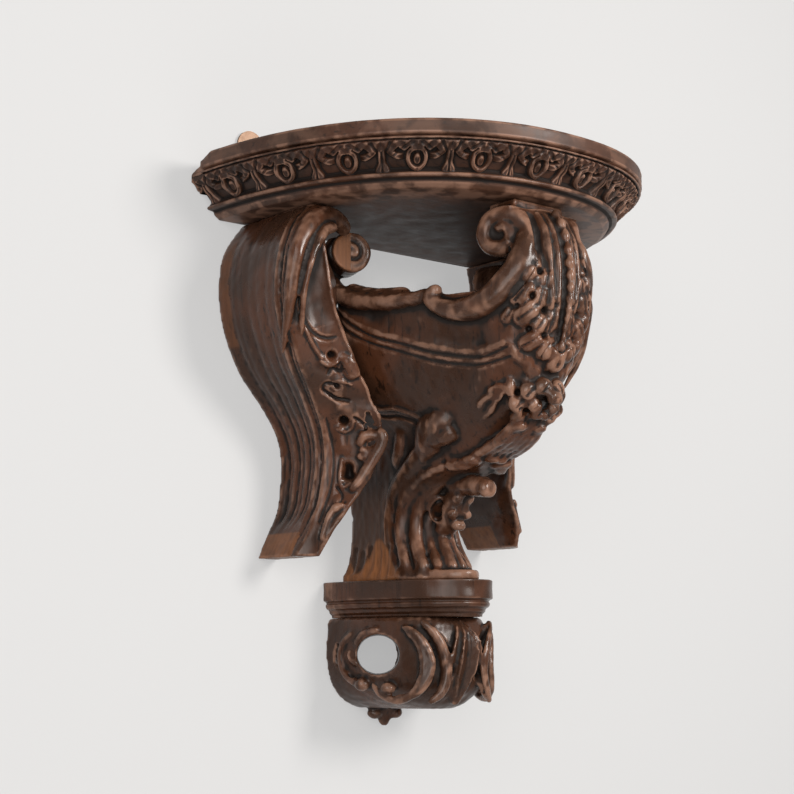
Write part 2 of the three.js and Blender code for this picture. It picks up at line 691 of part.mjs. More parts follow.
function pendantShape() {
  const shape = new THREE.Shape();
  const half = PENDANT_DROP * 0.95;
  shape.moveTo(-half, 4);
  shape.lineTo(-half, -PENDANT_DROP * 0.35);
  shape.lineTo(-half * 0.45, -PENDANT_DROP * 0.5);
  shape.absarc(0, -PENDANT_DROP * 0.72, PENDANT_DROP * 0.28, Math.PI, 2 * Math.PI, false);
  shape.lineTo(half * 0.45, -PENDANT_DROP * 0.5);
  shape.lineTo(half, -PENDANT_DROP * 0.35);
  shape.lineTo(half, 4);
  return shape;
}

function scrollBlock() {
  const rows = [
    [0, 0.92, 0.9], [0.08, 0.98, 0.95], [0.25, 1.02, 1.02], [0.45, 1.0, 1.04], [0.65, 0.94, 1.03],
    [0.82, 0.8, 1.0], [0.94, 0.6, 0.94], [1, 0.42, 0.86],
  ];
  const rings = rows.map(([share, width, depth]) => (
    footRing(BLOCK_HALF_WIDTH * width, BLOCK_DEPTH * depth, 3.1, 0, blockTop - share * BLOCK_HEIGHT)
  ));
  const body = solid(skin(rings.reverse()));
  const bore = new THREE.CylinderGeometry(RING_BORE / 2, RING_BORE / 2, 160, 12).scale(1, 1, 0.92);
  bore.rotateZ(RING_TURN);
  bore.translate(ringCentre.across, -ringCentre.out, ringCentre.up);
  const ridges = [0.72, 1.1].map((reach) => {
    const points = [-1.7, -1, -0.3, 0.5, 1.4].map((angle) => (
      onBlock(RING_BORE * reach * Math.cos(angle), RING_BORE * 0.75 * Math.sin(angle), 0)
    ));
    return bar(points, [3, 5, 5, 3], 4, 5);
  });
  const curls = [-9, 9].map((shift) => lump(onBlock(shift - 6, -RING_BORE * 0.62, -2), 7, 6, 6));
  const notchLine = [0.08, 0.4, 0.8].map((share) => (
    at(33, BLOCK_DEPTH * 1.04, blockTop - share * BLOCK_HEIGHT)
  ));
  const notch = bar(notchLine, [3, 5, 3]);
  const tongue = bar([
    at(0, BLOCK_DEPTH * 0.88, blockTop - 2),
    at(0, BLOCK_DEPTH * 1.0, blockTop - 0.45 * BLOCK_HEIGHT),
    at(0, BLOCK_DEPTH * 0.9, blockTop - BLOCK_HEIGHT),
  ], [10, 14, 5], 7);
  const pendant = new THREE.ExtrudeGeometry(pendantShape(), {
    depth: 16,
    bevelEnabled: false,
    curveSegments: 5,
  });
  pendant.rotateX(Math.PI / 2).translate(0, -2, blockFoot);
  const scrolls = [...ridges, ...curls].flatMap(bothSides);
  const filled = joined(body, ...scrolls, solid(tongue), solid(pendant));
  return within(cutBy(filled, ...bothSides(bore), ...bothSides(notch)), -BODY_HEIGHT * 2, blockTop);
}

const darkWood = { color: '#4a3429', roughness: 0.5, metalness: 0 };
const brass = { color: '#c79a72', roughness: 0.4, metalness: 1 };

const group = new THREE.Group();
group.add(
  piece('shelf_board', shelfBoard(), darkWood),
  piece('shelf_cornice', shelfCornice(), darkWood),
  piece('bracket_body', bracketBody(), darkWood),
  piece('wing_left', wing(-1, 0), darkWood),
  piece('wing_right', wing(1, RIGHT_WING_LIFT), darkWood),
  piece('plinth', plinth(), darkWood),
  piece('scroll_block', scrollBlock(), darkWood),
  piece('plate_left', plateBody(-1, 0, PLATE_THICKNESS, 0), brass),
  piece('plate_right', plateBody(1, 0, PLATE_THICKNESS, 0), brass),
);

export default group;
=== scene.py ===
"""Carved wall bracket: a moulded half-round shelf on a bellied, leaf-carved body with fluted wings."""

import logging
import math
from dataclasses import dataclass, field
from enum import Enum
from typing import Sequence

import bmesh
import bpy
import numpy as np
from mathutils import Matrix, Vector

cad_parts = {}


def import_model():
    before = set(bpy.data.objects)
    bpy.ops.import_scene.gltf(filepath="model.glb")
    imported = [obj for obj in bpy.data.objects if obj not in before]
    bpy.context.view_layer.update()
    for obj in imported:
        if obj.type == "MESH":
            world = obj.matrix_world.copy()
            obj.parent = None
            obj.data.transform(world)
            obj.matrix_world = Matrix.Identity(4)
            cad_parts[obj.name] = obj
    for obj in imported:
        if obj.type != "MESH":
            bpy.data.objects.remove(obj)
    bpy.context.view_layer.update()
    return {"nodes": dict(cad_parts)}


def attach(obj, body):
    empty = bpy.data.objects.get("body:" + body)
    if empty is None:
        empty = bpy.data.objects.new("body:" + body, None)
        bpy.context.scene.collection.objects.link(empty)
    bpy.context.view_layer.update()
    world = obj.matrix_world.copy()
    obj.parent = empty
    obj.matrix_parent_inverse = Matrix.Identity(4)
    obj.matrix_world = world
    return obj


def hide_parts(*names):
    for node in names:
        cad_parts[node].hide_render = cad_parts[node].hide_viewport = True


log = logging.getLogger("bracket")

MM = 0.001
SHELF_TOP = 29.0
UNDER_SHELF = -46.3
WALL_SNAP = 1.2
UPRIGHT = np.array([0, 0, 1.0])

Line = Sequence[Sequence[float]]
Colour = tuple[float, float, float]
Socket = bpy.types.NodeSocket


def metres(places: np.ndarray) -> np.ndarray:
    """Turn places of [across, out, up] in millimetres, up from the shelf's top, into the frame's metres."""
    return np.stack([places[..., 0], -places[..., 1], places[..., 2] + SHELF_TOP], axis=-1) * MM


def millimetres(points: np.ndarray) -> np.ndarray:
    """Turn points of the frame in metres into places of [across, out, up] in millimetres."""
    return np.stack([points[..., 0], -points[..., 1], points[..., 2] - SHELF_TOP * MM], axis=-1) / MM


def smooth_line(places: Line, count: int) -> np.ndarray:
    """Draw a smooth line through a few places.

    Args:
        places: The places, or rows of values, that the line passes.
        count: How many points the line gets.

    Returns:
        The points of the line, one row each.
    """
    knots = np.array(places, float)
    padded = np.vstack([2 * knots[0] - knots[1], knots, 2 * knots[-1] - knots[-2]])
    t = np.linspace(0, len(knots) - 1, count)
    i = np.minimum(t.astype(int), len(knots) - 2)
    f = (t - i)[:, None]
    a, b, c, d = (padded[i + k] for k in range(4))
    return 0.5 * (2 * b + (c - a) * f + (2 * a - 5 * b + 4 * c - d) * f**2 + (3 * b - a - 3 * c + d) * f**3)


def along(rows: Line, share: np.ndarray) -> np.ndarray:
    """Read smooth values at shares along rows of [share, value, value...].

    Args:
        rows: The rows, in rising order of their share.
        share: Where to read.

    Returns:
        One row of values for each share.
    """
    table = np.asarray(rows, float)
    share = np.atleast_1d(np.asarray(share, float))
    x = table[:, 0]
    slope = np.gradient(table[:, 1:], x, axis=0)
    i = np.clip(np.searchsorted(x, share, side="right") - 1, 0, len(x) - 2)
    span = x[i + 1] - x[i]
    t = np.clip((share - x[i]) / span, 0, 1)[:, None]
    span = span[:, None]
    start = (2 * t**3 - 3 * t**2 + 1) * table[i, 1:] + (t**3 - 2 * t**2 + t) * span * slope[i]
    end = (3 * t**2 - 2 * t**3) * table[i + 1, 1:] + (t**3 - t**2) * span * slope[i + 1]
    return start + end


def ease(value: np.ndarray | float, low: float, high: float) -> np.ndarray | float:
    """Rise smoothly from 0 at low to 1 at high."""
    t = np.clip((value - low) / (high - low), 0, 1)
    return t * t * (3 - 2 * t)


def half_round(
    angle: np.ndarray, half: np.ndarray | float, depth: np.ndarray | float, roundness: float,
) -> tuple[np.ndarray, np.ndarray]:
    """Give the across and out of a half-round plan.

    Args:
        angle: Where to read it, from 0 at its right end to half a turn at its left end.
        half: Its half-width.
        depth: Its reach from the wall.
        roundness: 2 for an oval, and more for a squarer plan.

    Returns:
        The places across and the places out.
    """
    c, s = np.cos(angle), np.sin(angle).clip(0)
    power = 2 / roundness
    return half * np.sign(c) * np.abs(c) ** power, depth * s**power


def directions(middle: np.ndarray, facing: Sequence[float]) -> tuple[np.ndarray, np.ndarray, np.ndarray]:
    """Give the ways along a line, out of its face and to its side.

    Args:
        middle: The line's points.
        facing: The direction that its face looks to.

    Returns:
        Three rows of ways of length 1, one way for each point.
    """
    ahead = np.gradient(middle, axis=0)
    ahead /= np.linalg.norm(ahead, axis=1, keepdims=True) + 1e-9
    out = np.broadcast_to(np.array(facing, float), ahead.shape)
    out = out - ahead * np.sum(out * ahead, axis=1, keepdims=True)
    out /= np.linalg.norm(out, axis=1, keepdims=True) + 1e-9
    return ahead, out, np.cross(ahead, out)


def ripple(places: np.ndarray, pitch: float, seed: int) -> np.ndarray:
    """Give a soft, uneven swell between about -1 and 1, like the marks of hand work.

    Args:
        places: Where to read it, in millimetres.
        pitch: The rough length of one swell, in millimetres.
        seed: Picks the pattern.

    Returns:
        One number for each place.
    """
    random = np.random.default_rng(seed)
    total = np.zeros(len(places))
    for _ in range(9):
        way = random.normal(size=3)
        way *= 2 * math.pi / (pitch * np.linalg.norm(way)) * random.uniform(0.6, 1.5)
        total += np.sin(places @ way + random.uniform(0, 6.3))
    return total / 4.5


def apply_tools(piece: bpy.types.Object) -> None:
    """Work a piece's modifiers into its mesh."""
    shown = piece.evaluated_get(bpy.context.evaluated_depsgraph_get())
    made = bpy.data.meshes.new_from_object(shown)
    piece.modifiers.clear()
    piece.data = made


def drop_specks(data: bpy.types.Mesh, least: int = 300) -> None:
    """Take out specks that hang loose from a surface.

    Args:
        data: The mesh to clean.
        least: The fewest corners that a part keeps its place with.
    """
    mesh = bmesh.new()
    mesh.from_mesh(data)
    seen: set[bmesh.types.BMVert] = set()
    specks: list[bmesh.types.BMVert] = []
    for start in mesh.verts:
        if start in seen:
            continue
        seen.add(start)
        part = [start]
        for corner in part:
            for edge in corner.link_edges:
                other = edge.other_vert(corner)
                if other not in seen:
                    seen.add(other)
                    part.append(other)
        if len(part) < least:
            specks += part
    bmesh.ops.delete(mesh, geom=specks, context="VERTS")
    mesh.to_mesh(data)
    mesh.free()


def melt(piece: bpy.types.Object, grain: float) -> None:
    """Melt a piece's forms into one even surface.

    Args:
        piece: The object to work on.
        grain: The length of the mesh's cells in millimetres.
    """
    melting = piece.modifiers.new("melting", "REMESH")
    melting.mode = "VOXEL"
    melting.voxel_size = grain * MM
    apply_tools(piece)
    drop_specks(piece.data)


def seat(piece: bpy.types.Object, wood: bpy.types.Material, node: str) -> None:
    """Give a piece its finish and its place in the frame.

    Args:
        piece: The finished object.
        wood: Its finish.
        node: The frame's node that it replaces.
    """
    piece.data.materials.append(wood)
    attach(piece, "root")
    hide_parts(node)


class Profile(Enum):
    """How a cut or a ridge falls off to its sides."""

    SOFT = "soft"
    ROUND = "round"
    SHARP = "sharp"
    FLAT = "flat"

    def shape(self, reach: np.ndarray) -> np.ndarray:
        """Return the height, from 1 in the middle to 0 at a reach of 1."""
        inside = np.clip(reach, 0, 1)
        if self is Profile.SOFT:
            return 0.5 + 0.5 * np.cos(math.pi * inside)
        if self is Profile.ROUND:
            return np.sqrt(1 - inside**2)
        if self is Profile.SHARP:
            return 1 - inside
        return 1 - ease(inside, 0.7, 1.0)


class Clay:
    """Closed forms, gathered in one mesh before they are fused into a carved piece."""

    def __init__(self) -> None:
        """Start with nothing."""
        self.mesh = bmesh.new()

    def skin(self, cells: np.ndarray, wrap: bool = True) -> list[bmesh.types.BMVert]:
        """Bend a plain grid into a surface, close it round its columns and fill its ends.

        Args:
            cells: The places as rows by columns, in millimetres.
            wrap: Whether the last column joins the first.

        Returns:
            The corners that were made.
        """
        if wrap:
            cells = np.concatenate([cells, cells[:, :1]], axis=1)
        rows, columns = cells.shape[:2]
        points = metres(cells)
        made = bmesh.ops.create_grid(self.mesh, x_segments=columns - 1, y_segments=rows - 1,
                                     size=0.5)["verts"]
        for corner in made:
            column = round((corner.co.x + 0.5) * (columns - 1))
            row = round((corner.co.y + 0.5) * (rows - 1))
            corner.co = points[row, column]
        bmesh.ops.remove_doubles(self.mesh, verts=made, dist=2e-6)
        made = [corner for corner in made if corner.is_valid]
        rim = {edge for corner in made for edge in corner.link_edges if edge.is_boundary}
        if rim:
            bmesh.ops.holes_fill(self.mesh, edges=list(rim), sides=0)
        return made

    def tube(
        self, line: Line, radii: Sequence[float], flat: float = 1.0, facing: Sequence[float] = (0, 1, 0),
        steps: int = 26, sides: int = 12, square: float = 1.0,
    ) -> None:
        """Add a rounded bar along a line.

        Args:
            line: The places that it passes.
            radii: Its half-widths, spread evenly along it.
            flat: Its thickness along facing as a share of its width.
            facing: The direction that its flat side looks to.
            steps: How many lengths it is divided in.
            sides: How many sides it has.
            square: The power of its section, 1 for an oval and less for a squarer band.
        """
        middle = smooth_line(line, steps)
        radius = smooth_line([[r] for r in radii], steps)[:, 0].clip(0.05)
        _, out, side = directions(middle, facing)
        ends = np.clip(np.minimum(np.arange(steps), np.arange(steps)[::-1]) / 2.0, 0, 1)
        radius = radius * np.sqrt(1 - (1 - ends) ** 2 * 0.75)
        angle = np.linspace(0, 2 * math.pi, sides, endpoint=False)
        c, s = (np.sign(wave) * np.abs(wave) ** square for wave in (np.cos(angle), np.sin(angle)))
        ring = c[None, :, None] * side[:, None] + flat * s[None, :, None] * out[:, None]
        self.skin(middle[:, None] + radius[:, None, None] * ring)

    def egg(self, centre: Sequence[float], sizes: Sequence[float], turn: float = 0.0,
            nod: float = 0.0) -> None:
        """Add an egg of three half-sizes, turned about the upright axis and nodded about its own width."""
        place = metres(np.array(centre, float))
        grow = Matrix.Diagonal(Vector(sizes) * MM).to_4x4()
        pose = Matrix.Translation(place) @ Matrix.Rotation(turn, 4, "Z") @ Matrix.Rotation(nod, 4, "X") @ grow
        bmesh.ops.create_uvsphere(self.mesh, u_segments=16, v_segments=10, radius=1, matrix=pose)

    def leaf(
        self, spine: Line, widths: Sequence[float], facing: Sequence[float], lobes: float = 4.0,
        notch: float = 0.35, cup: float = 0.15, ruffle: float = 1.6, thick: float = 4.0,
    ) -> None:
        """Add one thick acanthus leaf with lobed edges, a sunk midrib and ruffles between its veins.

        Args:
            spine: The places that its midrib passes, from its root to its tip.
            widths: Its half-widths, spread evenly along it.
            facing: The direction that its face looks to.
            lobes: How many lobes each edge has.
            notch: How deep the cuts between lobes are, as a share of its width.
            cup: How far its edges lift, as a share of its width.
            ruffle: The height of the ruffles in millimetres.
            thick: Its thickness in millimetres.
        """
        steps, across, lean = 44, 13, 0.12
        v = np.linspace(0, 1, steps)
        middle = smooth_line(spine, steps)
        width = smooth_line([[w] for w in widths], steps)[:, 0]
        ahead, out, side = directions(middle, facing)
        wave = 0.5 + 0.5 * np.cos(2 * math.pi * (lobes * v - 0.5))
        edge = width * (1 - notch * (1 - wave) ** 2)
        s = np.linspace(-1, 1, across)
        length = np.linalg.norm(np.diff(middle, axis=0), axis=1).sum()
        lift = cup * width[:, None] * s**2 + ruffle * (wave[:, None] - 0.5) * np.abs(s)
        lift = lift - 1.2 * np.exp(-((s / 0.14) ** 2))
        forward = lean * length * np.abs(s) * (1 - v[:, None]) ** 0.5
        body = middle[:, None] + side[:, None] * (edge[:, None] * s)[..., None]
        face = body + ahead[:, None] * forward[..., None] + out[:, None] * lift[..., None]
        rim = np.sqrt(np.clip(1 - s**4, 0, 1))
        back = face - out[:, None] * (thick * (0.25 + 0.75 * rim))[None, :, None]
        self.skin(np.concatenate([face, back[:, ::-1]], axis=1))

    def mirror(self) -> None:
        """Repeat everything made so far on the other side of the middle plane."""
        forms = [*self.mesh.verts, *self.mesh.edges, *self.mesh.faces]
        copy = bmesh.ops.duplicate(self.mesh, geom=forms)
        corners = [item for item in copy["geom"] if isinstance(item, bmesh.types.BMVert)]
        bmesh.ops.scale(self.mesh, vec=(-1, 1, 1), verts=corners)

    def fuse(self, name: str, grain: float) -> bpy.types.Object:
        """Fuse the forms into one continuous surface.

        Args:
            name: The piece's name.
            grain: The length of the mesh's cells in millimetres.

        Returns:
            The piece as a Blender object.
        """
        piece = self.plain(name)
        melt(piece, grain)
        return piece

    def plain(self, name: str) -> bpy.types.Object:
        """Turn the forms into an object as they are, with their faces pointing out."""
        bmesh.ops.recalc_face_normals(self.mesh, faces=list(self.mesh.faces))
        data = bpy.data.meshes.new(name)
        self.mesh.to_mesh(data)
        self.mesh.free()
        piece = bpy.data.objects.new(name, data)
        bpy.context.scene.collection.objects.link(piece)
        return piece


class Carving:
    """The surface of a piece, worked as places of [across, out, up] in millimetres."""

    def __init__(self, piece: bpy.types.Object) -> None:
        """Take up a piece.

        Args:
            piece: The object whose mesh is carved.
        """
        self.piece = piece
        data = piece.data
        flat = np.empty(len(data.vertices) * 3)
        data.vertices.foreach_get("co", flat)
        self.places = millimetres(flat.reshape(-1, 3))
        ends = np.empty(len(data.edges) * 2, dtype=np.int64)
        data.edges.foreach_get("vertices", ends)
        self.ends = ends.reshape(-1, 2)
        self.links = np.bincount(self.ends.ravel(), minlength=len(self.places)).clip(1)
        self.rise = np.zeros(len(self.places))

    def mean(self, values: np.ndarray) -> np.ndarray:
        """Average each point's neighbours."""
        a, b = self.ends.T
        count = len(self.places)
        columns = [
            np.bincount(a, values[b, k], count) + np.bincount(b, values[a, k], count)
            for k in range(values.shape[1])
        ]
        return np.stack(columns, axis=1) / self.links[:, None]

    def relax(self, rounds: int, strength: float = 0.5) -> None:
        """Soften the surface towards its neighbours."""
        for _ in range(rounds):
            self.places += strength * (self.mean(self.places) - self.places)

    def write(self) -> None:
        """Put the worked places back in the mesh."""
        self.piece.data.vertices.foreach_set("co", metres(self.places).ravel())
        self.piece.data.update()

    def normals(self) -> np.ndarray:
        """Give the way out of the surface at each point, as [across, out, up]."""
        self.write()
        flat = np.empty(len(self.places) * 3)
        self.piece.data.vertex_normals.foreach_get("vector", flat)
        way = flat.reshape(-1, 3)
        return np.stack([way[:, 0], -way[:, 1], way[:, 2]], axis=1)

    def reach(self, line: np.ndarray, width: float, both: bool = True) -> tuple[np.ndarray, np.ndarray,
                                                                                np.ndarray]:
        """Measure how far points lie from a line.

        Args:
            line: The line's points.
            width: How far to look.
            both: Whether the other side of the middle plane counts as this one.

        Returns:
            The points' numbers, their distances, and their shares along the line.
        """
        places = self.places
        if both:
            places = np.stack([np.abs(places[:, 0]), places[:, 1], places[:, 2]], axis=1)
        low, high = line.min(axis=0) - width, line.max(axis=0) + width
        near = np.nonzero(np.all((places >= low) & (places <= high), axis=1))[0]
        spots = places[near]
        best = np.full(len(near), 1e9)
        share = np.zeros(len(near))
        for i in range(len(line) - 1):
            step = line[i + 1] - line[i]
            t = np.clip((spots - line[i]) @ step / (step @ step + 1e-9), 0, 1)
            far = np.linalg.norm(spots - line[i] - t[:, None] * step, axis=1)
            closer = far < best
            best[closer] = far[closer]
            share[closer] = (i + t[closer]) / (len(line) - 1)
        return near, best, share

    def stroke(
        self, line: Line, width: float, height: float, profile: Profile = Profile.SOFT, taper: float = 0.0,
        both: bool = True, steps: int = 22,
    ) -> None:
        """Raise a ridge, or with a negative height cut a groove, along a line.

        Args:
            line: The places that it passes, near the surface.
            width: Its half-width in millimetres.
            height: Its height in millimetres.
            profile: How it falls off to its sides.
            taper: How much it fades towards its two ends, from 0 to 1.
            both: Whether the other side of the piece gets it too.
            steps: How many lengths the line is divided in.
        """
        path = smooth_line(line, steps) if len(line) > 1 else np.array([line[0], line[0]], float)
        near, far, share = self.reach(path, width, both)
        strength = height * profile.shape(far / width)
        strength *= 1 - taper * (1 - np.sin(math.pi * share) ** 0.5)
        self.rise[near] += strength

    def lobes(self, leaves: Sequence[tuple[Line, float, float]], profile: Profile) -> None:
        """Raise lobes of leaves that meet in sharp valleys.

        Args:
            leaves: Each lobe's midrib, half-width and height in millimetres.
            profile: How a lobe falls off to its sides.
        """
        top = np.zeros(len(self.rise))
        for line, width, height in leaves:
            near, far, _ = self.reach(smooth_line(line, 9), width)
            top[near] = np.maximum(top[near], height * profile.shape(far / width))
        self.rise += top

    def lift(self) -> None:
        """Move the surface by the strokes laid down so far."""
        self.places += self.normals() * self.rise[:, None]
        self.rise[:] = 0

    def attribute(self, name: str, values: np.ndarray) -> None:
        """Store one number a point for the material to read."""
        store = self.piece.data.attributes.get(name) or self.piece.data.attributes.new(name, "FLOAT", "POINT")
        store.data.foreach_set("value", np.asarray(values, np.float32))

    def finish(self, fine: float, broad: float, rounds: int) -> None:
        """Write the surface, and where it stands proud or lies sunk.

        Args:
            fine: The height in millimetres that counts as a full edge.
            broad: The same for wide forms.
            rounds: How far the wide look reaches.
        """
        way = self.normals()
        near = self.places.copy()
        for _ in range(4):
            near = self.mean(near)
        wide = near.copy()
        for _ in range(rounds):
            wide = self.mean(wide)
        sharp = np.sum((self.places - near) * way, axis=1) / fine
        deep = np.sum((self.places - wide) * way, axis=1) / broad
        # The wood's material paints shade where these lie sunk, and wear with painted highlights where they
        # stand proud.
        self.attribute("edge", np.clip(0.5 + 0.5 * sharp, 0, 1))
        self.attribute("form", np.clip(0.5 + 0.5 * deep, 0, 1))
        if self.piece.data.attributes.get("bare") is None:
            self.attribute("bare", np.zeros(len(self.places)))
        for face in self.piece.data.polygons:
            face.use_smooth = True


class Recipe:
    """The nodes of one material, laid down one after another."""

    def __init__(self, name: str) -> None:
        """Start with a plain shader.

        Args:
            name: The material's name.
        """
        self.material = bpy.data.materials.new(name)
        self.material.use_nodes = True
        self.nodes = self.material.node_tree.nodes
        self.link = self.material.node_tree.links.new
        self.shader = self.nodes["Principled BSDF"]

    def where(self) -> Socket:
        """Read the place on the object."""
        return self.nodes.new("ShaderNodeTexCoord").outputs["Object"]

    def stretched(self, vector: Socket, scale: Sequence[float]) -> Socket:
        """Stretch the place along the three axes."""
        mapping = self.nodes.new("ShaderNodeMapping")
        mapping.inputs["Scale"].default_value = scale
        self.link(vector, mapping.inputs["Vector"])
        return mapping.outputs[0]

    def noise(self, vector: Socket, scale: float, detail: float, warp: float = 0.0) -> Socket:
        """Add a cloudy pattern."""
        node = self.nodes.new("ShaderNodeTexNoise")
        for name, value in (("Scale", scale), ("Detail", detail), ("Distortion", warp)):
            node.inputs[name].default_value = value
        self.link(vector, node.inputs["Vector"])
        return node.outputs["Fac"]

    def ranged(
        self, value: Socket, low: float, high: float, to: tuple[float, float] = (0.0, 1.0), soft: bool = True,
    ) -> Socket:
        """Map a value from one range to another, softly or evenly."""
        node = self.nodes.new("ShaderNodeMapRange")
        node.interpolation_type = "SMOOTHSTEP" if soft else "LINEAR"
        for name, bound in (("From Min", low), ("From Max", high), ("To Min", to[0]), ("To Max", to[1])):
            node.inputs[name].default_value = bound
        self.link(value, node.inputs["Value"])
        return node.outputs["Result"]

    def mixed(self, share: Socket, first: Socket | Colour, second: Socket | Colour) -> Socket:
        """Mix two colours by a share."""
        node = self.nodes.new("ShaderNodeMix")
        node.data_type = "RGBA"
        self.link(share, node.inputs["Factor"])
        for slot, colour in (("A", first), ("B", second)):
            socket = [s for s in node.inputs if s.name == slot and s.type == "RGBA"][0]
            if isinstance(colour, tuple):
                socket.default_value = (*colour, 1.0)
            else:
                self.link(colour, socket)
        return [s for s in node.outputs if s.type == "RGBA"][0]

    def stored(self, name: str) -> Socket:
        """Read a number kept with the mesh."""
        node = self.nodes.new("ShaderNodeAttribute")
        node.attribute_name = name
        return node.outputs["Fac"]

    def maths(self, operation: str, first: Socket, second: Socket | float) -> Socket:
        """Join two numbers, and keep the result between 0 and 1."""
        node = self.nodes.new("ShaderNodeMath")
        node.operation = operation
        node.use_clamp = True
        self.link(first, node.inputs[0])
        if isinstance(second, float):
            node.inputs[1].default_value = second
        else:
            self.link(second, node.inputs[1])
        return node.outputs[0]

    def set(self, values: dict[str, object]) -> None:
        """Set or link the shader's inputs by name."""
        for name, value in values.items():
            if isinstance(value, Socket):
                self.link(value, self.shader.inputs[name])
            else:
                self.shader.inputs[name].default_value = value


@dataclass(frozen=True)
class WoodFinish:
    """Stained and waxed wood, with painted shade darkening its hollows and creases, and lighter worn high
    places that also carry painted highlights.

    Attributes:
        name: The material's name.
        deep: Dark colour of the pores, also used as painted shade in the hollows and creases.
        stain: Colour of the even surface.
        warm: Colour of the redder patches.
        rubbed_and_highlight: Colour of the worn edges and high places, which also paints highlights on them.
        raw: Colour of the bare wood in breaks.
        grain: Direction of the grain, as stretches along the three axes.
        gloss: Roughness of the even surface.
    """

    name: str
    deep: Colour = (0.006, 0.0034, 0.0024)
    stain: Colour = (0.034, 0.0145, 0.0078)
    warm: Colour = (0.066, 0.0235, 0.011)
    rubbed_and_highlight: Colour = (0.25, 0.135, 0.09)
    raw: Colour = (0.26, 0.1, 0.036)
    grain: tuple[float, float, float] = (260.0, 260.0, 9.0)
    gloss: float = 0.3

    def make(self) -> bpy.types.Material:
        """Build the material's nodes.

        Returns:
            The finished material.
        """
        recipe = Recipe(self.name)
        ranged, mixed, maths = recipe.ranged, recipe.mixed, recipe.maths
        where = recipe.where()
        form, edge, bare = (recipe.stored(name) for name in ("form", "edge", "bare"))
        fibres = recipe.noise(recipe.stretched(where, self.grain), 1.0, 6.0, 0.4)
        pores = recipe.noise(recipe.stretched(where, [3.2 * k for k in self.grain]), 1.0, 2.0)
        clouds = recipe.noise(where, 16.0, 4.0, 0.6)
        smudge = recipe.noise(where, 60.0, 5.0, 0.3)
        colour = mixed(ranged(clouds, 0.42, 0.66), self.stain, self.warm)
        colour = mixed(ranged(fibres, 0.44, 0.3), colour, tuple(0.5 * k for k in self.stain))
        colour = mixed(ranged(pores, 0.36, 0.28, (0.0, 0.6)), colour, self.deep)
        # Painted shade: sunk forms and creases are darkened towards the deep colour.
        sunk = maths("MAXIMUM", ranged(form, 0.48, 0.12), ranged(edge, 0.42, 0.16))
        colour = mixed(maths("MULTIPLY", sunk, 0.94), colour, self.deep)
        # Worn high places: proud edges and forms lighten towards the worn colour, which is partly real wear
        # and partly painted highlight.
        proud = maths("ADD", ranged(edge, 0.6, 0.95), ranged(form, 0.66, 1.0, (0.0, 0.35)))
        worn = maths("MULTIPLY", proud, ranged(smudge, 0.4, 0.6, (0.15, 1.0)))
        colour = mixed(maths("MULTIPLY", worn, 0.66), colour, self.rubbed_and_highlight)
        raw = mixed(ranged(fibres, 0.3, 0.7), tuple(0.62 * k for k in self.raw), self.raw)
        rough = ranged(smudge, 0.3, 0.7, (self.gloss - 0.07, self.gloss + 0.1))
        duller = maths("MULTIPLY", maths("MAXIMUM", sunk, bare), 0.3)
        relief = recipe.nodes.new("ShaderNodeBump")
        relief.inputs["Strength"].default_value = 0.35
        relief.inputs["Distance"].default_value = 0.0006
        height = maths("ADD", maths("MULTIPLY", fibres, 0.5), maths("MULTIPLY", smudge, 0.5))
        recipe.link(height, relief.inputs["Height"])
        recipe.set({
            "Base Color": mixed(bare, colour, raw),
            "Roughness": maths("ADD", maths("SUBTRACT", rough, maths("MULTIPLY", worn, 0.1)), duller),
            "Specular IOR Level": 0.26,
            "Normal": relief.outputs[0],
        })
        return recipe.material


@dataclass(frozen=True)
class BrassFinish:
    """Dull, aged brass with a cloudy surface."""

    name: str = "aged_brass"
    bright: Colour = (0.26, 0.17, 0.12)
    dull: Colour = (0.16, 0.1, 0.068)

    def make(self) -> bpy.types.Material:
        """Build the material's nodes.

        Returns:
            The finished material.
        """
        recipe = Recipe(self.name)
        cloud = recipe.noise(recipe.where(), 220.0, 5.0)
        recipe.set({
            "Metallic": 0.85,
            "Base Color": recipe.mixed(recipe.ranged(cloud, 0.35, 0.65, soft=False), self.dull, self.bright),
            "Roughness": recipe.ranged(cloud, 0.0, 1.0, (0.36, 0.6), soft=False),
        })
        return recipe.material


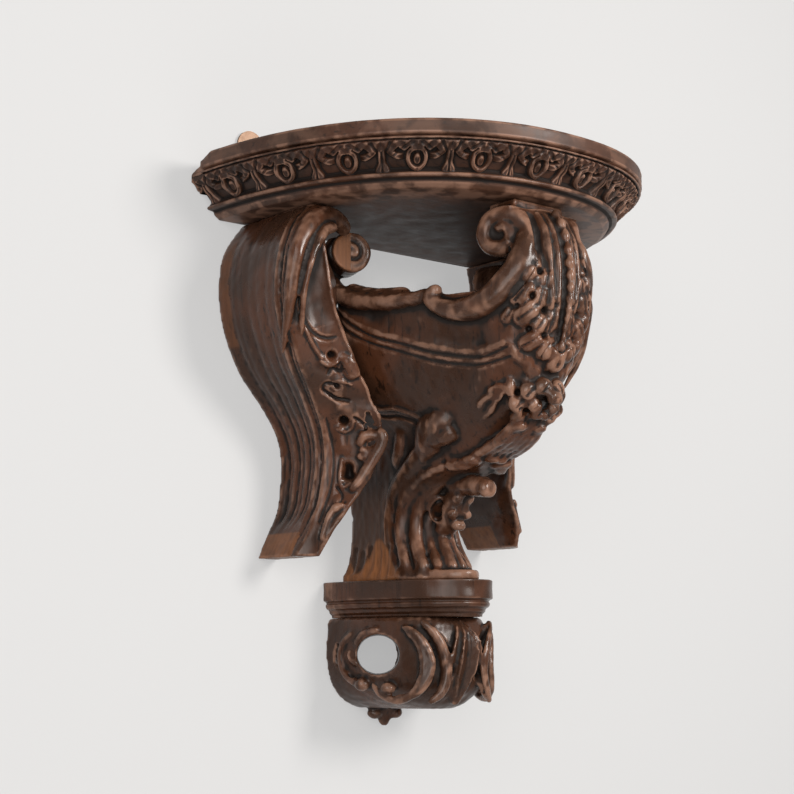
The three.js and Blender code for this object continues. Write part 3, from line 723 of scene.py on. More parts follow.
@dataclass
class Shelf:
    """The half-round board and the carved cornice under it, sizes in millimetres."""

    half_width: float = 200.0
    depth: float = 248.0
    roundness: float = 2.22
    board: float = 12.0
    frieze_top: float = -15.3
    frieze_foot: float = -36.3
    underside: float = -45.7
    relief_height: float = 5.4
    unit: float = 58.0
    spots: Sequence[float] = (-21, 42, 105, 165, 224, 278, 333, 387, 442, 496, 555, 615, 678, 741)
    columns: int = 1150

    def outline(self, inset: np.ndarray, shares: np.ndarray) -> tuple[np.ndarray, np.ndarray]:
        """Give the half-round outline's across and out at shares of its length, moved in by insets."""
        angle = np.linspace(0, math.pi, 4001)
        across, out = half_round(angle, self.half_width, self.depth, self.roundness)
        length = np.concatenate([[0], np.cumsum(np.hypot(np.diff(across), np.diff(out)))])
        where = np.interp(shares * length[-1], length, angle)
        return half_round(where, self.half_width - inset, self.depth - inset, self.roundness)

    def length(self) -> float:
        """Measure the outline's length."""
        across, out = self.outline(np.zeros(1), np.linspace(0, 1, 2001))
        return float(np.hypot(np.diff(across), np.diff(out)).sum())

    def relief(self, unit: np.ndarray, down: np.ndarray) -> np.ndarray:
        """Give the height of the frieze's carving over its sunk ground.

        Args:
            unit: The place in one repeat, from -0.5 to 0.5 with the lobe in the middle.
            down: The place down the frieze, from 0 to 1.

        Returns:
            The height in millimetres, proud of the ground.
        """
        x = np.abs(unit) * self.unit
        y = down * 29.0
        stem = self.unit / 2 - x
        wide = stem * 44.0 / self.unit
        lobe = np.hypot(x / 9.0, (y - 17.5) / 10.6)
        loop = ease(-np.abs(lobe - 0.84), -0.27, -0.13) * ease(y, 5.0, 8.0)
        kernel = 0.7 * ease(-np.hypot(x / 4.2, (y - 19.0) / 6.5), -1.0, -0.5)
        half = 3.0 + 4.0 * ease(-y, -10.0, -2.0) + 3.2 * ease(y, 20.0, 28.0)
        post = ease(-stem, -half - 0.9, -half + 0.9) * (1 - 0.35 * np.exp(-((stem / 0.9) ** 2)))
        sweep = np.hypot(wide - 14.5, y - 5.0)
        arm = ease(-np.abs(sweep - 11.5), -3.1, -1.7) * ease(y, 3.0, 6.0) * ease(-wide, -15.0, -10.0)
        edge = 8.0 + 3.6 * np.abs(np.cos(math.pi * (x - 1.0) / 9.5))
        crown = ease(-y, -edge - 0.7, -edge + 0.9)
        fan = np.arctan2(wide + 3.0, 24.0 - y)
        veins = 0.3 * ease(np.cos(fan * 15.0), 0.35, 1.0) * ease(-y, -17.0, -12.0)
        height = np.maximum(np.maximum(loop, post), np.maximum(np.maximum(arm, crown) - veins, kernel))
        height = height - 0.5 * np.exp(-(((y - 1.7) / 0.8) ** 2))
        swell = 0.86 + 0.14 * np.sin(x * 0.7 + y * 0.5)
        return self.relief_height * height * swell

    def trimmed(self, places: np.ndarray) -> np.ndarray:
        """Take off the worn left end: a flat trim and the slanted back corner of the board."""
        places = places.copy()
        near_wall = places[:, 1] < 19
        places[:, 0] = np.where(near_wall, np.maximum(places[:, 0], -194.6), places[:, 0])
        corner = np.array([-198.0, 4.0, -12.0])
        way = np.array([-0.437, -0.328, 0.838])
        way /= np.linalg.norm(way)
        over = ((places - corner) @ way).clip(0)
        keep = places[:, 1] < 0.01
        moved = places - over[:, None] * way
        slid = places.copy()
        slid[:, 0] += over / abs(way[0])
        return np.where(keep[:, None], slid, np.where(moved[:, 1:2] < 0, slid, moved))

    def loft(self, profile: Line, name: str, columns: int, carved: bool) -> bpy.types.Object:
        """Sweep a profile of [inset, up] round the outline and close it along the wall.

        Args:
            profile: The rows of inset and height, from the top down.
            name: The piece's name.
            columns: How many places the outline is divided in.
            carved: Whether the frieze's carving is laid over it.

        Returns:
            The piece.
        """
        shares = np.linspace(0, 1, columns)
        travel = (1 - shares) * self.length()
        repeats = np.interp(travel, self.spots, np.arange(len(self.spots)))
        cells = []
        for inset, up in np.array(profile, float):
            down = (self.frieze_top - up) / (self.frieze_top - self.frieze_foot)
            sunk = np.zeros(columns)
            if carved and 0 < down < 1:
                unit = (repeats + 0.5) % 1.0 - 0.5
                fade = ease(down, 0.0, 0.05) * ease(-down, -1.0, -0.94)
                sunk = (self.relief_height - self.relief(unit, np.full(columns, down))) * fade
            across, out = self.outline(inset + sunk * 0.7, shares)
            front = np.stack([across, out, up + sunk * 0.6], axis=1)
            front[0, 1] = front[-1, 1] = 0
            back_across = np.linspace(front[-1, 0], front[0, 0], 14)[1:-1]
            back = np.stack([back_across, np.zeros(12), np.full(12, front[0, 2])], axis=1)
            cells.append(np.vstack([front, back]))
        clay = Clay()
        clay.skin(np.array(cells))
        return clay.plain(name)

    def build(self, wood: bpy.types.Material) -> list[bpy.types.Object]:
        """Make the board and the cornice.

        Args:
            wood: Their finish.

        Returns:
            The two pieces.
        """
        edge = [(3, 0), (1.2, 0), (0.4, -0.4), (0, -1.2), (0.25, -3), (0.1, -6), (0.3, -9), (0, -10.8),
                (0.6, -11.7)]
        foot = -self.board
        rows = [(60, 0), (32, 0), (15, 0), (7, 0), *edge, (2.0, foot), (7, foot), (60, foot)]
        board = self.loft(rows, "shelf_top_board", 500, False)
        profile = [(60.0, -12.3), (5.2, -12.3), (5.0, -12.9), (4.6, -13.7), (1.2, -14.2), (0.8, -14.8)]
        for t in np.linspace(0, 1, 58)[1:-1]:
            up = self.frieze_top + (self.frieze_foot - self.frieze_top) * t
            inset = 1.0 + 21.5 * t**1.12 + 1.6 * math.sin(math.pi * t)
            profile.append((inset, up))
        profile += [
            (21.4, -36.4), (21.0, -37.2), (21.2, -38.2), (22.6, -38.8), (26.4, -39.4), (27.6, -40.2),
            (27.8, -41.4),
            (28.6, -42.6), (30.0, -43.6), (31.2, -44.4), (32.4, -45.3), (33.6, self.underside),
            (70.0, self.underside),
        ]
        cornice = self.loft(profile, "shelf_carved_cornice", self.columns, True)
        for piece, node in ((board, "shelf_board"), (cornice, "shelf_cornice")):
            carving = Carving(piece)
            carving.places = self.trimmed(carving.places)
            wobble = 0.25 * ripple(carving.places, 23, 5)
            carving.places[:, 0] += wobble * (np.abs(carving.places[:, 1]) > 2)
            carving.places[:, 1] = carving.places[:, 1].clip(0.2)
            carving.finish(0.4, 1.2, 10)
            seat(piece, wood, node)
        return [board, cornice]


@dataclass
class Body:
    """The carved middle: open bowl, rims, front acanthus and leafed stem, sizes in millimetres."""

    height: float = 295.0
    half_width: float = 94.0
    depth: float = 238.0
    top: float = UNDER_SHELF
    foot_up: float = -341.2
    front_roll: tuple = ((38.0, 200.0, -75.5), (0.88, 0.47), 15.0)
    rear_roll: tuple = ((91.0, 81.0, -76.0), (0.36, 0.93), 17.0)
    rows: Line = (
        (0.0, 0.98, 0.29, 0.98, 0.75, 0.42, 0.885), (0.047, 0.98, 0.29, 0.98, 0.76, 0.435, 0.925),
        (0.078, 0.98, 0.29, 0.98, 0.77, 0.445, 0.955), (0.122, 0.98, 0.29, 0.98, 0.78, 0.455, 0.975),
        (0.19, 0.98, 0.29, 0.98, 0.79, 0.46, 0.985), (0.285, 0.99, 0.315, 1.0, 0.79, 0.475, 0.98),
        (0.353, 0.98, 0.33, 0.98, 0.775, 0.47, 0.955), (0.42, 0.89, 0.315, 0.89, 0.74, 0.45, 0.93),
        (0.488, 0.79, 0.294, 0.79, 0.7, 0.43, 0.885), (0.539, 0.68, 0.273, 0.66, 0.645, 0.41, 0.825),
        (0.59, 0.48, 0.23, 0.47, 0.575, 0.37, 0.76), (0.64, 0.36, 0.21, 0.36, 0.49, 0.33, 0.685),
        (0.69, 0.34, 0.24, 0.35, 0.41, 0.32, 0.58), (0.76, 0.31, 0.215, 0.35, 0.31, 0.3, 0.41),
        (0.86, 0.293, 0.2, 0.345, 0.285, 0.28, 0.35), (0.93, 0.32, 0.22, 0.355, 0.315, 0.285, 0.38),
        (0.973, 0.365, 0.24, 0.375, 0.35, 0.32, 0.43), (1.0, 0.37, 0.25, 0.38, 0.36, 0.33, 0.44),
    )

    def sizes(self, up: np.ndarray) -> np.ndarray:
        """Give the plan's six sizes at heights."""
        scale = np.array([self.half_width, self.depth] * 3)
        return along(self.rows, (self.top - np.atleast_1d(up)) / self.height) * scale

    def half(self, out: np.ndarray, up: np.ndarray) -> np.ndarray:
        """Give the half-width at distances out and heights."""
        out = np.atleast_1d(np.asarray(out, float))
        up = np.broadcast_to(np.asarray(up, float), out.shape)
        wall, shoulder_out, shoulder, nose_out, nose, front = self.sizes(up).T
        t = np.clip((out - shoulder_out) / (nose_out - shoulder_out), 0, 1)
        back = wall + (shoulder - wall) * np.clip(out / shoulder_out, 0, 1)
        side = np.where(out <= shoulder_out, back, shoulder + (nose - shoulder) * t + 3 * np.sin(math.pi * t))
        reach = np.clip((out - nose_out) / (front - nose_out), 0, 1)
        return np.where(out <= nose_out, side, nose * np.sqrt(1 - reach**2))

    def side(self, rows: Line, proud: float = 0.0) -> np.ndarray:
        """Lay places of [out, up] on the right side, standing proud by a margin."""
        flat = np.array(rows, float)
        across = self.half(flat[:, 0], flat[:, 1]) + proud
        return np.stack([across, flat[:, 0], flat[:, 1]], axis=1)

    def nose(self, rows: Line, proud: float = 0.0) -> np.ndarray:
        """Lay places of [across, up] on the front, standing proud by a margin."""
        flat = np.array(rows, float)
        _, _, _, nose_out, nose, front = self.sizes(flat[:, 1]).T
        reach = np.sqrt(np.clip(1 - (flat[:, 0] / nose) ** 2, 0, 1))
        return np.stack([flat[:, 0], nose_out + (front - nose_out) * reach + proud, flat[:, 1]], axis=1)

    def tip(self, up: float, count: int) -> np.ndarray:
        """Give the round front's right half at one height, as places of [across, out]."""
        _, _, _, nose_out, nose, front = self.sizes(up)[0]
        turn = np.linspace(0, math.pi / 2, count)
        return np.stack([nose * np.cos(turn), nose_out + (front - nose_out) * np.sin(turn)], axis=1)

    def plan(self, up: float) -> np.ndarray:
        """Give the closed plan at one height."""
        nose_out = self.sizes(up)[0, 3]
        out = np.linspace(0, nose_out, 34)[:-1]
        flank = np.stack([self.half(out, up), out], axis=1)
        right = np.vstack([flank, self.tip(up, 16)])
        left = right[-2::-1] * [-1, 1]
        ring = np.vstack([right, left])
        return np.column_stack([ring, np.full(len(ring), up)])

    def bowl(self, clay: Clay) -> None:
        """Add the bellied bowl and the stem as one form, dished at the top."""
        rings = [self.plan(up) for up in np.linspace(-341.0, -121.0, 96)]
        for shrink, up in ((0.98, -119.6), (0.93, -119.2), (0.86, -122), (0.7, -127), (0.35, -129),
                           (0.02, -129.5)):
            ring = self.plan(-121.0)
            centre = np.array([0.0, 118.0])
            ring[:, :2] = centre + (ring[:, :2] - centre) * shrink
            ring[:, 1] = np.where(ring[:, 1] < 6, ring[:, 1] * 0.2, ring[:, 1])
            ring[:, 2] = up
            rings.append(ring)
        clay.skin(np.array(rings))

    def front_scroll(self, clay: Clay) -> None:
        """Add the front C-scroll's wall, which carries the acanthus, with its rolled top and neck."""
        back = [(-136, 172), (-131, 183), (-124, 195), (-116, 203), (-106, 209), (-96, 212), (-86, 211),
                (-76, 207), (-66, 203), (-59, 204), (-55, 209),
                (-53.5, 216)]
        rings = []
        for up, inner in smooth_line(back, 34):
            tip = self.tip(up, 18)
            tip[:, 1] = np.maximum(tip[:, 1], inner)
            inside = np.stack([np.linspace(0, tip[0, 0], 8)[:-1], np.full(7, inner)], axis=1)
            right = np.vstack([inside, tip])
            left = right[-2:0:-1] * [-1, 1]
            ring = np.vstack([right, left])
            rings.append(np.column_stack([ring, np.full(len(ring), up)]))
        clay.skin(np.array(rings))
        neck = [(s * w, d, u) for u in (-46.2, -62) for s, w,
                d in ((1, 27, 176), (1, 27, 205), (-1, 27, 205), (-1, 27, 176))]
        clay.skin(np.array(neck, float).reshape(2, 4, 3))

    def volutes(self, clay: Clay) -> None:
        """Add the drum of the right front roll, and the right rear roll where wing and rim meet."""
        for (centre, way, radius), length in ((self.front_roll, 40.0), (self.rear_roll, 33.0)):
            away = np.array([-way[0], -way[1], 0.0])
            level = np.array([way[1], -way[0], 0.0])
            angle = np.linspace(0, 2 * math.pi, 40, endpoint=False)
            rings = []
            for step, size in ((0.0, 0.9), (0.8, 0.97), (2.0, 1.0), (length * 0.5, 0.97), (length, 0.92)):
                ring = np.array(centre) + away * step
                circle = np.cos(angle)[:, None] * level + np.sin(angle)[:, None] * UPRIGHT
                rings.append(ring + radius * size * circle)
            clay.skin(np.array(rings))

    def curl(self) -> np.ndarray:
        """Give the band's curl at the front as rows of across, out, up and half-thickness."""
        centre, toward, face = np.array([45.0, 204, -76]), np.array([-0.47, 0.88, 0]), np.array([0.88, 0.47,
                                                                                                 0])
        turns = [(0, 20, 8, -6), (45, 18, 7.8, -5), (90, 15.5, 7.5, -4), (135, 15, 7, -3.4),
                 (180, 14.2, 6.4, -3), (225, 13, 6.2, -2.5), (270, 11.5, 5.8, -2), (315, 10, 5.4, -1.5),
                 (360, 8.4, 5, -1), (405, 7, 4.6, -0.6), (450, 5.2, 4.2, -0.3),
                 (500, 3, 4, 0)]
        rows = []
        for angle, reach, thick, sunk in turns:
            a = math.radians(angle)
            spot = centre + reach * (math.cos(a) * toward + math.sin(a) * UPRIGHT) + (sunk - 9) * face
            rows.append([*spot, thick])
        return np.array(rows)

    def rims(self, clay: Clay) -> None:
        """Add the right C-scroll rims along the bowl's open top."""
        rear = [(88, 62, -62), (92, 52, -76), (93, 50, -88), (93, 56, -101), (92, 70, -111), (87, 90, -119),
                (81, 111, -122), (74, 128, -122), (69, 142, -121), (66, 149, -117)]
        clay.tube(rear, [8, 8, 8, 8, 8, 7.5, 7, 6.5, 6, 4.5], flat=1.5, facing=(1, 0.35, 0), steps=46,
                  sides=16)
        inner = [(86, 72, -104), (82, 90, -112), (76, 111, -115), (70, 128, -115)]
        clay.tube(inner, [5, 6, 6, 5], flat=1.6, facing=(1, 0.35, 0))
        band = np.array([
            (65, 160, -117, 4), (67, 154, -118, 5), (67, 151, -124, 6), (63, 158, -131, 7),
            (56, 170, -135, 8.5), (49, 185, -133, 10), (43, 198, -126, 10.5), (37, 208, -115, 10.5),
            (31, 215, -102, 10), (26, 217, -88, 9),
        ])
        path = np.vstack([band, self.curl()])
        clay.tube(path[:, :3], path[:, 3], flat=1.3, facing=(0.88, 0.47, 0), steps=110, sides=20, square=0.72)

    def collar(self, clay: Clay) -> None:
        """Add the raised double collar that runs down from each side round under the front leaf."""
        for drop, size in ((0.0, 2.2), (6.5, 2.4)):
            line = self.side([(205, -163 - drop), (209, -170 - drop), (213, -178 - drop)], 0.6)
            front = self.nose([(20, -184.5 - drop), (9, -189 - drop), (0, -191 - drop)], 0.6)
            clay.tube(np.vstack([line, front]), [size, size, size, size], steps=30, sides=10)

    def leafwork(self, carving: Carving) -> None:
        """Carve the front leaf: its hollow blade, thin ribs and drilled lobes."""
        nose = self.nose
        for rows, width, height, profile in (
            ([(0, -60), (0, -90), (0, -125), (0, -160)], 5.5, -4.0, Profile.SOFT),
            ([(7.5, -60), (8, -82), (8, -104), (8, -128), (6, -150)], 2.8, 2.6, Profile.SHARP),
            ([(14, -60), (14.5, -80), (14.5, -98), (14, -118), (12, -136)], 3.0, 2.8, Profile.SHARP),
            ([(11, -64), (11.2, -84), (11, -104), (10, -126)], 2.0, -1.6, Profile.SOFT),
            ([(20, -62), (21.5, -76), (22, -90), (20, -104)], 6.0, -4.2, Profile.SOFT),
            ([(27, -62), (28, -76), (28.5, -90), (27, -101)], 3.0, 2.2, Profile.ROUND),
            ([(24, -104), (28, -122), (27, -140), (20, -158), (9, -168)], 15.0, 4.0, Profile.SOFT),
        ):
            carving.stroke(nose(rows), width, height, profile, taper=0.4, steps=30)
        lobes = (
            ([(24, -96), (25, -103)], 5.0, 3.0), ([(29, -109), (31, -113)], 6.4, 5.6),
            ([(18, -113), (19, -119)], 4.4, 3.2), ([(32, -123), (35, -129)], 7.6, 6.4),
            ([(22, -126), (23, -132)], 5.4, 4.4), ([(28, -139), (32, -144)], 7.2, 6.2),
            ([(19, -147), (21, -151)], 5.8, 4.8), ([(22, -160), (26, -164)], 6.6, 6.0),
            ([(10, -143), (11, -151)], 4.2, 3.2), ([(11, -163), (13, -170)], 5.8, 5.4),
            ([(2, -170), (3, -180)], 5.0, 4.8), ([(38, -140), (39, -144)], 4.4, 4.4),
        )
        carving.lobes([(nose(rows), width, 0.66 * height) for rows, width, height in lobes], Profile.ROUND)
        for rows, _, _ in lobes:
            root, tip = np.array(rows, float)
            way = tip - root
            vein = nose([root - 0.8 * way, (root + tip) / 2, tip + 0.4 * way])
            carving.stroke(vein, 1.8, -2.0, Profile.SHARP)
        for across, up, width, depth in (
            (23, -109, 4.2, 8), (28, -128, 3.6, 9), (18, -139, 4.2, 8), (15, -158, 3.6, 8), (9, -134, 2.6, 6),
            (26, -153, 3.2, 8), (7, -164, 2.8, 6), (32, -118, 2.4, 6), (35, -135, 2.4, 6),
        ):
            carving.stroke(nose([(across, up)]), width, -depth)

    def beads(self, clay: Clay) -> None:
        """Add the string of beads down the front and the leaf's three-lobed tip."""
        line = [(224, -60), (230, -69), (234, -79), (236.5, -90), (238, -101), (238.5, -111), (238.5, -120),
                (237.5, -129), (236, -137), (234, -144), (232, -151), (230, -158),
                (228, -165)]
        sizes = [4.2, 4.6, 4.6, 4.6, 4.6, 4.4, 4.2, 3.9, 3.5, 3.2, 3.0, 2.8, 3.2]
        for (out, up), size in zip(line, sizes):
            clay.egg((0, out - 0.6, up), (size * 0.9, size, size * 1.35))
        for across, up, size in ((0, -176, 6.5), (7, -171, 5), (-7, -171, 5)):
            spot = self.nose([(across, up)], -0.5)[0]
            clay.egg(spot, (size, size * 0.8, size))

    def belly_leaves(self, clay: Clay) -> None:
        """Add the right half of the crowded leafwork under the collar."""
        spots = (
            ((8, 215, -196), (8, 5, 7)), ((2, 219, -205), (5, 5, 6)), ((17, 207, -199), (7, 5, 8)),
            ((10, 207, -210), (7, 5, 6)), ((22, 199, -209), (7, 5, 7)), ((4, 203, -216), (6, 6, 5)),
            ((16, 193, -218), (6, 8, 4)), ((27, 197, -195), (4, 5, 9)), ((10, 188, -225), (7, 9, 4)),
        )
        for centre, sizes in spots:
            clay.egg(centre, sizes, turn=0.4)
        clay.leaf([(28, 158, -222), (31, 172, -212), (33, 184, -203), (34, 196, -196)], (3, 7, 7, 2.5),
                  (0.8, 0.5, -0.2), lobes=2, thick=4)
        for across, size in ((3, 5.5), (11, 5.5), (18, 5.0)):
            rib = [(across, 142, -245), (across * 0.97, 159, -240), (across * 0.9, 178, -231),
                   (across * 0.75, 198, -214)]
            clay.tube(rib, [size * 0.6, size * 0.8, size * 0.9, size * 0.6], steps=30, sides=12)
        clay.egg((4, 150, -246), (7, 8, 4), nod=0.3)
        clay.egg((16, 139, -248), (9, 11, 5), turn=0.5)
        clay.tube(self.side([(168, -209), (178, -203), (190, -197), (198, -193)], 1), [1.5, 3, 3, 1.5])
        clay.tube(self.side([(186, -212), (190, -205), (194, -199), (200, -195)], 1), [1.5, 2.4, 2.4, 2])

    def stem_leaves(self, clay: Clay) -> None:
        """Add the leaves that climb the right side of the stem and curl out at their tips."""
        climbing = (
            ([(30, 60, -318), (29, 56, -296), (29, 58, -279), (30, 68, -263), (31, 84, -250), (33, 99, -240),
              (35, 116, -231), (37, 128, -223)],
             (3, 5.5, 6.5, 7.5, 8.5, 9, 9, 5)),
            ([(31, 77, -334), (28, 66, -308), (26, 65, -287), (27, 73, -270), (27, 88, -257), (26, 106, -250),
              (24, 121, -247), (23, 132, -247)],
             (4.5, 5.5, 6, 7, 7.5, 7.5, 6.5, 4)),
            ([(25, 92, -334), (22, 79, -312), (20, 76, -292), (19, 83, -276), (17, 95, -266),
              (14, 108, -260)],
             (4.5, 5.5, 5.5, 6, 5.5, 3)),
            ([(17, 100, -334), (12, 84, -312), (11, 80, -296), (10, 84, -286)], (4.5, 4.5, 4, 2.5)),
            ([(6, 104, -334), (4, 94, -316), (4, 88, -302), (4, 92, -296)], (6, 5.5, 4.5, 3)),
        )
        for line, radii in climbing:
            clay.tube(line, radii, flat=0.8, facing=(0.8, 0.6, 0), steps=44, sides=16, square=0.85)
        clay.tube([(34, 98, -244), (40, 107, -231), (43, 118, -219), (42, 130, -215), (37, 140, -219)],
                  [6, 10, 13, 12, 6],
                  flat=0.5, facing=(0.95, 0.1, 0.25), steps=30, sides=18)
        clay.tube([(43, 104, -214), (46, 112, -206), (46, 123, -202), (44, 133, -204), (40, 140, -211)],
                  [1.5, 2.2, 2.6, 2.6, 2])
        clay.tube([(33, 66, -247), (38, 75, -235), (42, 82, -223), (44, 87, -211)], [7, 6, 4, 1.2], flat=0.6,
                  facing=(1, 0.2, 0))
        clay.tube([(37, 117, -231), (36, 130, -228), (33, 141, -225)], [7, 8, 6])
        clay.tube([(27, 122, -251), (20, 134, -249), (13, 142, -246)], [5, 8, 6], flat=0.7,
                  facing=(0.4, 0.6, 0.6))
        clay.tube([(4, 104, -265), (3, 120, -265), (2, 138, -268)], [9, 8.5, 8.5], sides=16)
        clay.egg((2, 141, -269), (7, 5, 8))
        for across, out, up, size in ((6, 112, -275, 5), (3, 106, -285, 5), (8, 108, -288, 4),
                                      (2, 106, -297, 4.5)):
            clay.egg((across, out, up), (size, size, size))
        clay.tube([(2, 82, -305), (2, 94, -294), (3, 102, -282), (3, 108, -268)], [6, 8, 9, 8])
        drop = [(13, 97, -274), (17, 90, -281), (14, 88, -290), (8, 92, -294), (5, 98, -286), (8, 100, -276),
                (13, 97, -274)]
        clay.tube(drop, [1.8] * 7, steps=36, sides=8)

    def foot(self, clay: Clay) -> None:
        """Add the low half-round fillet that the stem stands on."""
        rings = []
        for grow, up in ((-1, -341.3), (0, -340.6), (0, -334.2), (-1.2, -333.4)):
            turn = np.linspace(0, math.pi, 60)
            ring = np.stack([(37 + grow) * np.cos(turn), (122 + grow) * np.sin(turn).clip(0) ** 0.8,
                             np.full(60, up)], axis=1)
            rings.append(ring)
        clay.skin(np.array(rings))

    def carve_side(self, carving: Carving) -> None:
        """Cut the rims' bead line, the double band, the panel lines and the drilled holes."""
        stroke, side = carving.stroke, self.side
        rim_line = [(58, -92), (66, -104), (78, -112), (92, -118), (111, -121), (128, -122), (142, -124)]
        stroke(side(rim_line, 8), 1.6, -1.2)
        for rows, width, height in (
            ([(62, -121), (80, -136), (101, -149), (121, -156), (144, -165), (174, -171), (192, -170),
              (206, -164)], 2.2, -1.5),
            ([(62, -127), (76, -141), (100, -155), (119, -162), (142, -171), (169, -176.5), (186, -177),
              (204, -173)], 2.2, -1.5),
            ([(60, -117), (79, -132), (101, -145), (122, -152), (146, -160), (174, -166), (200, -163)], 4.0,
             0.8),
        ):
            stroke(side(rows), width, height, Profile.SHARP)
        panel = [(100, -134), (125, -143), (150, -152), (178, -158), (200, -153)]
        stroke(side(panel), 11, -1.6)
        lip = [(69, -168), (68, -185), (70, -198), (80, -203), (93, -204), (104, -208), (112, -212)]
        stroke(side(lip), 3.2, 1.8)
        stroke(side([(o - 1, u - 6) for o, u in lip]), 2.6, -2.0)

    def carve_holes(self, carving: Carving) -> None:
        """Drill the eyes between lobes, gouge the stem's bare side and cut the veins of the leaves."""
        eyes = (
            ((34, 202, -195), 2.6, 4), ((36, 185, -206), 2.8, 4), ((6, 204, -211), 3.0, 5),
            ((14, 214, -204), 3.0, 5), ((20, 203, -214), 2.8, 5), ((26, 197, -203), 2.6, 5),
            ((10, 196, -218), 2.6, 5), ((3, 214, -200), 2.4, 4), ((26, 112, -260), 3.2, 6),
            ((36, 128, -230), 3.4, 5), ((0, 180, -238), 3.0, 6),
        )
        for spot, width, depth in eyes:
            carving.stroke([spot], width, -depth, Profile.SOFT)
        stroke = carving.stroke
        for across, out, up in (
            (8, 220, -197), (2, 224, -206), (18, 212, -200), (11, 212, -211), (23, 204, -210), (5, 208, -217),
            (17, 200, -220),
        ):
            vein = [(across - 4, out, up + 5), (across, out + 0.5, up), (across + 3, out - 3, up - 5)]
            stroke(vein, 1.9, -2.4, Profile.SHARP)
        for out in (7, 18, 30, 42, 53, 63):
            line = self.side([(out, -312 - 0.3 * out % 7), (out, -323), (out, -333)]) * [-1, 1, 1]
            stroke(line, 4.6, -1.5, Profile.ROUND, both=False)
        stroke([(30, 101, -251), (28, 112, -249), (27, 121, -247)], 3.6, -6, Profile.SOFT)
        stroke([(10, 93, -277), (10, 92, -283), (9, 92, -288)], 6.0, -8, Profile.SOFT)
        for line, width, height in (
            ([(33, 52, -322), (33, 52, -290), (34, 58, -268), (34, 72, -251), (35, 88, -240)], 1.8, 1.4),
            ([(34, 69, -330), (31, 62, -308), (30, 62, -287), (31, 70, -268), (31, 86, -254), (30, 103, -244),
              (29, 120, -240)], 2.0, -2.2),
            ([(29, 83, -332), (26, 72, -310), (24, 71, -290), (24, 79, -273), (23, 93, -261),
              (21, 108, -255)], 2.0, -2.6),
            ([(21, 97, -333), (17, 82, -312), (15, 78, -294), (14, 84, -280)], 2.0, -2.6),
            ([(0, 98, -334), (0, 91, -316), (0, 87, -302)], 2.4, 2.0),
        ):
            stroke(line, width, height, Profile.SOFT, taper=0.3, steps=30)

    def spirals(self, carving: Carving) -> None:
        """Cut the spirals on the faces of the two rear volutes."""
        centre, way, radius = self.rear_roll
        level = np.array([way[1], -way[0], 0.0])
        angle = np.linspace(0.4, 4.6 * math.pi / 2, 40)
        size = radius * (0.62 - 0.42 * np.linspace(0, 1, 40))
        turns = np.cos(angle)[:, None] * level + np.sin(angle)[:, None] * UPRIGHT
        carving.stroke(np.array(centre) + size[:, None] * turns, 2.4, -2.6, Profile.SOFT, steps=60)

    def break_volute(self, places: np.ndarray) -> np.ndarray:
        """Flatten the broken half of the left rear volute's face.

        Args:
            places: The surface, which is changed.

        Returns:
            Which of the places are broken.
        """
        (across, out, up), way, _ = self.rear_roll
        level = (places[:, 0] + across) * way[1] + (places[:, 1] - out) * way[0]
        ahead = (places[:, 0] + across) * -way[0] + (places[:, 1] - out) * way[1]
        broken = (np.hypot(level, places[:, 2] - up) < 16) * (np.abs(ahead) < 5) * (level < -1)
        places -= (broken * (ahead + 0.6))[:, None] * np.array([-way[0], way[1], 0])
        return broken

    def bare_stem(self, places: np.ndarray) -> np.ndarray:
        """Give how bare the stem's sides are: broken open at the foot, thinly stained above."""
        across, out, up = np.abs(places[:, 0]), places[:, 1], places[:, 2]
        ragged = 14 * np.sin(out / 9.0)
        foot = ease(-up, 318 + ragged, 322 + ragged) * ease(-out, -74, -66) * (across > 22)
        flat = ease(-up, 256, 275) * (out < 58) * (across > 24)
        return 0.13 * flat + 0.85 * foot

    def build(self, wood: bpy.types.Material) -> bpy.types.Object:
        """Make the middle of the bracket.

        Args:
            wood: Its finish.

        Returns:
            The piece.
        """
        clay = Clay()
        for add in (self.volutes, self.rims, self.belly_leaves, self.stem_leaves, self.collar):
            add(clay)
        clay.mirror()
        for add in (self.bowl, self.front_scroll, self.beads, self.foot):
            add(clay)
        piece = clay.fuse("carved_bracket_body", 1.75)
        carving = Carving(piece)
        carving.relax(2, 0.4)
        self.carve_side(carving)
        self.leafwork(carving)
        carving.lift()
        self.carve_holes(carving)
        self.spirals(carving)
        carving.rise += 0.22 * ripple(carving.places, 9, 3) + 0.25 * ripple(carving.places, 26, 8)
        carving.lift()
        carving.relax(1, 0.3)
        places = carving.places
        places[:, 1] = np.where(places[:, 1] < WALL_SNAP, 0.0, places[:, 1])
        places[:, 2] = np.clip(places[:, 2], self.foot_up, self.top)
        broken = self.break_volute(places)
        carving.attribute("bare", np.clip(self.bare_stem(places) + 0.62 * broken, 0, 1))
        carving.finish(0.45, 2.4, 26)
        seat(piece, wood, "bracket_body")
        return piece


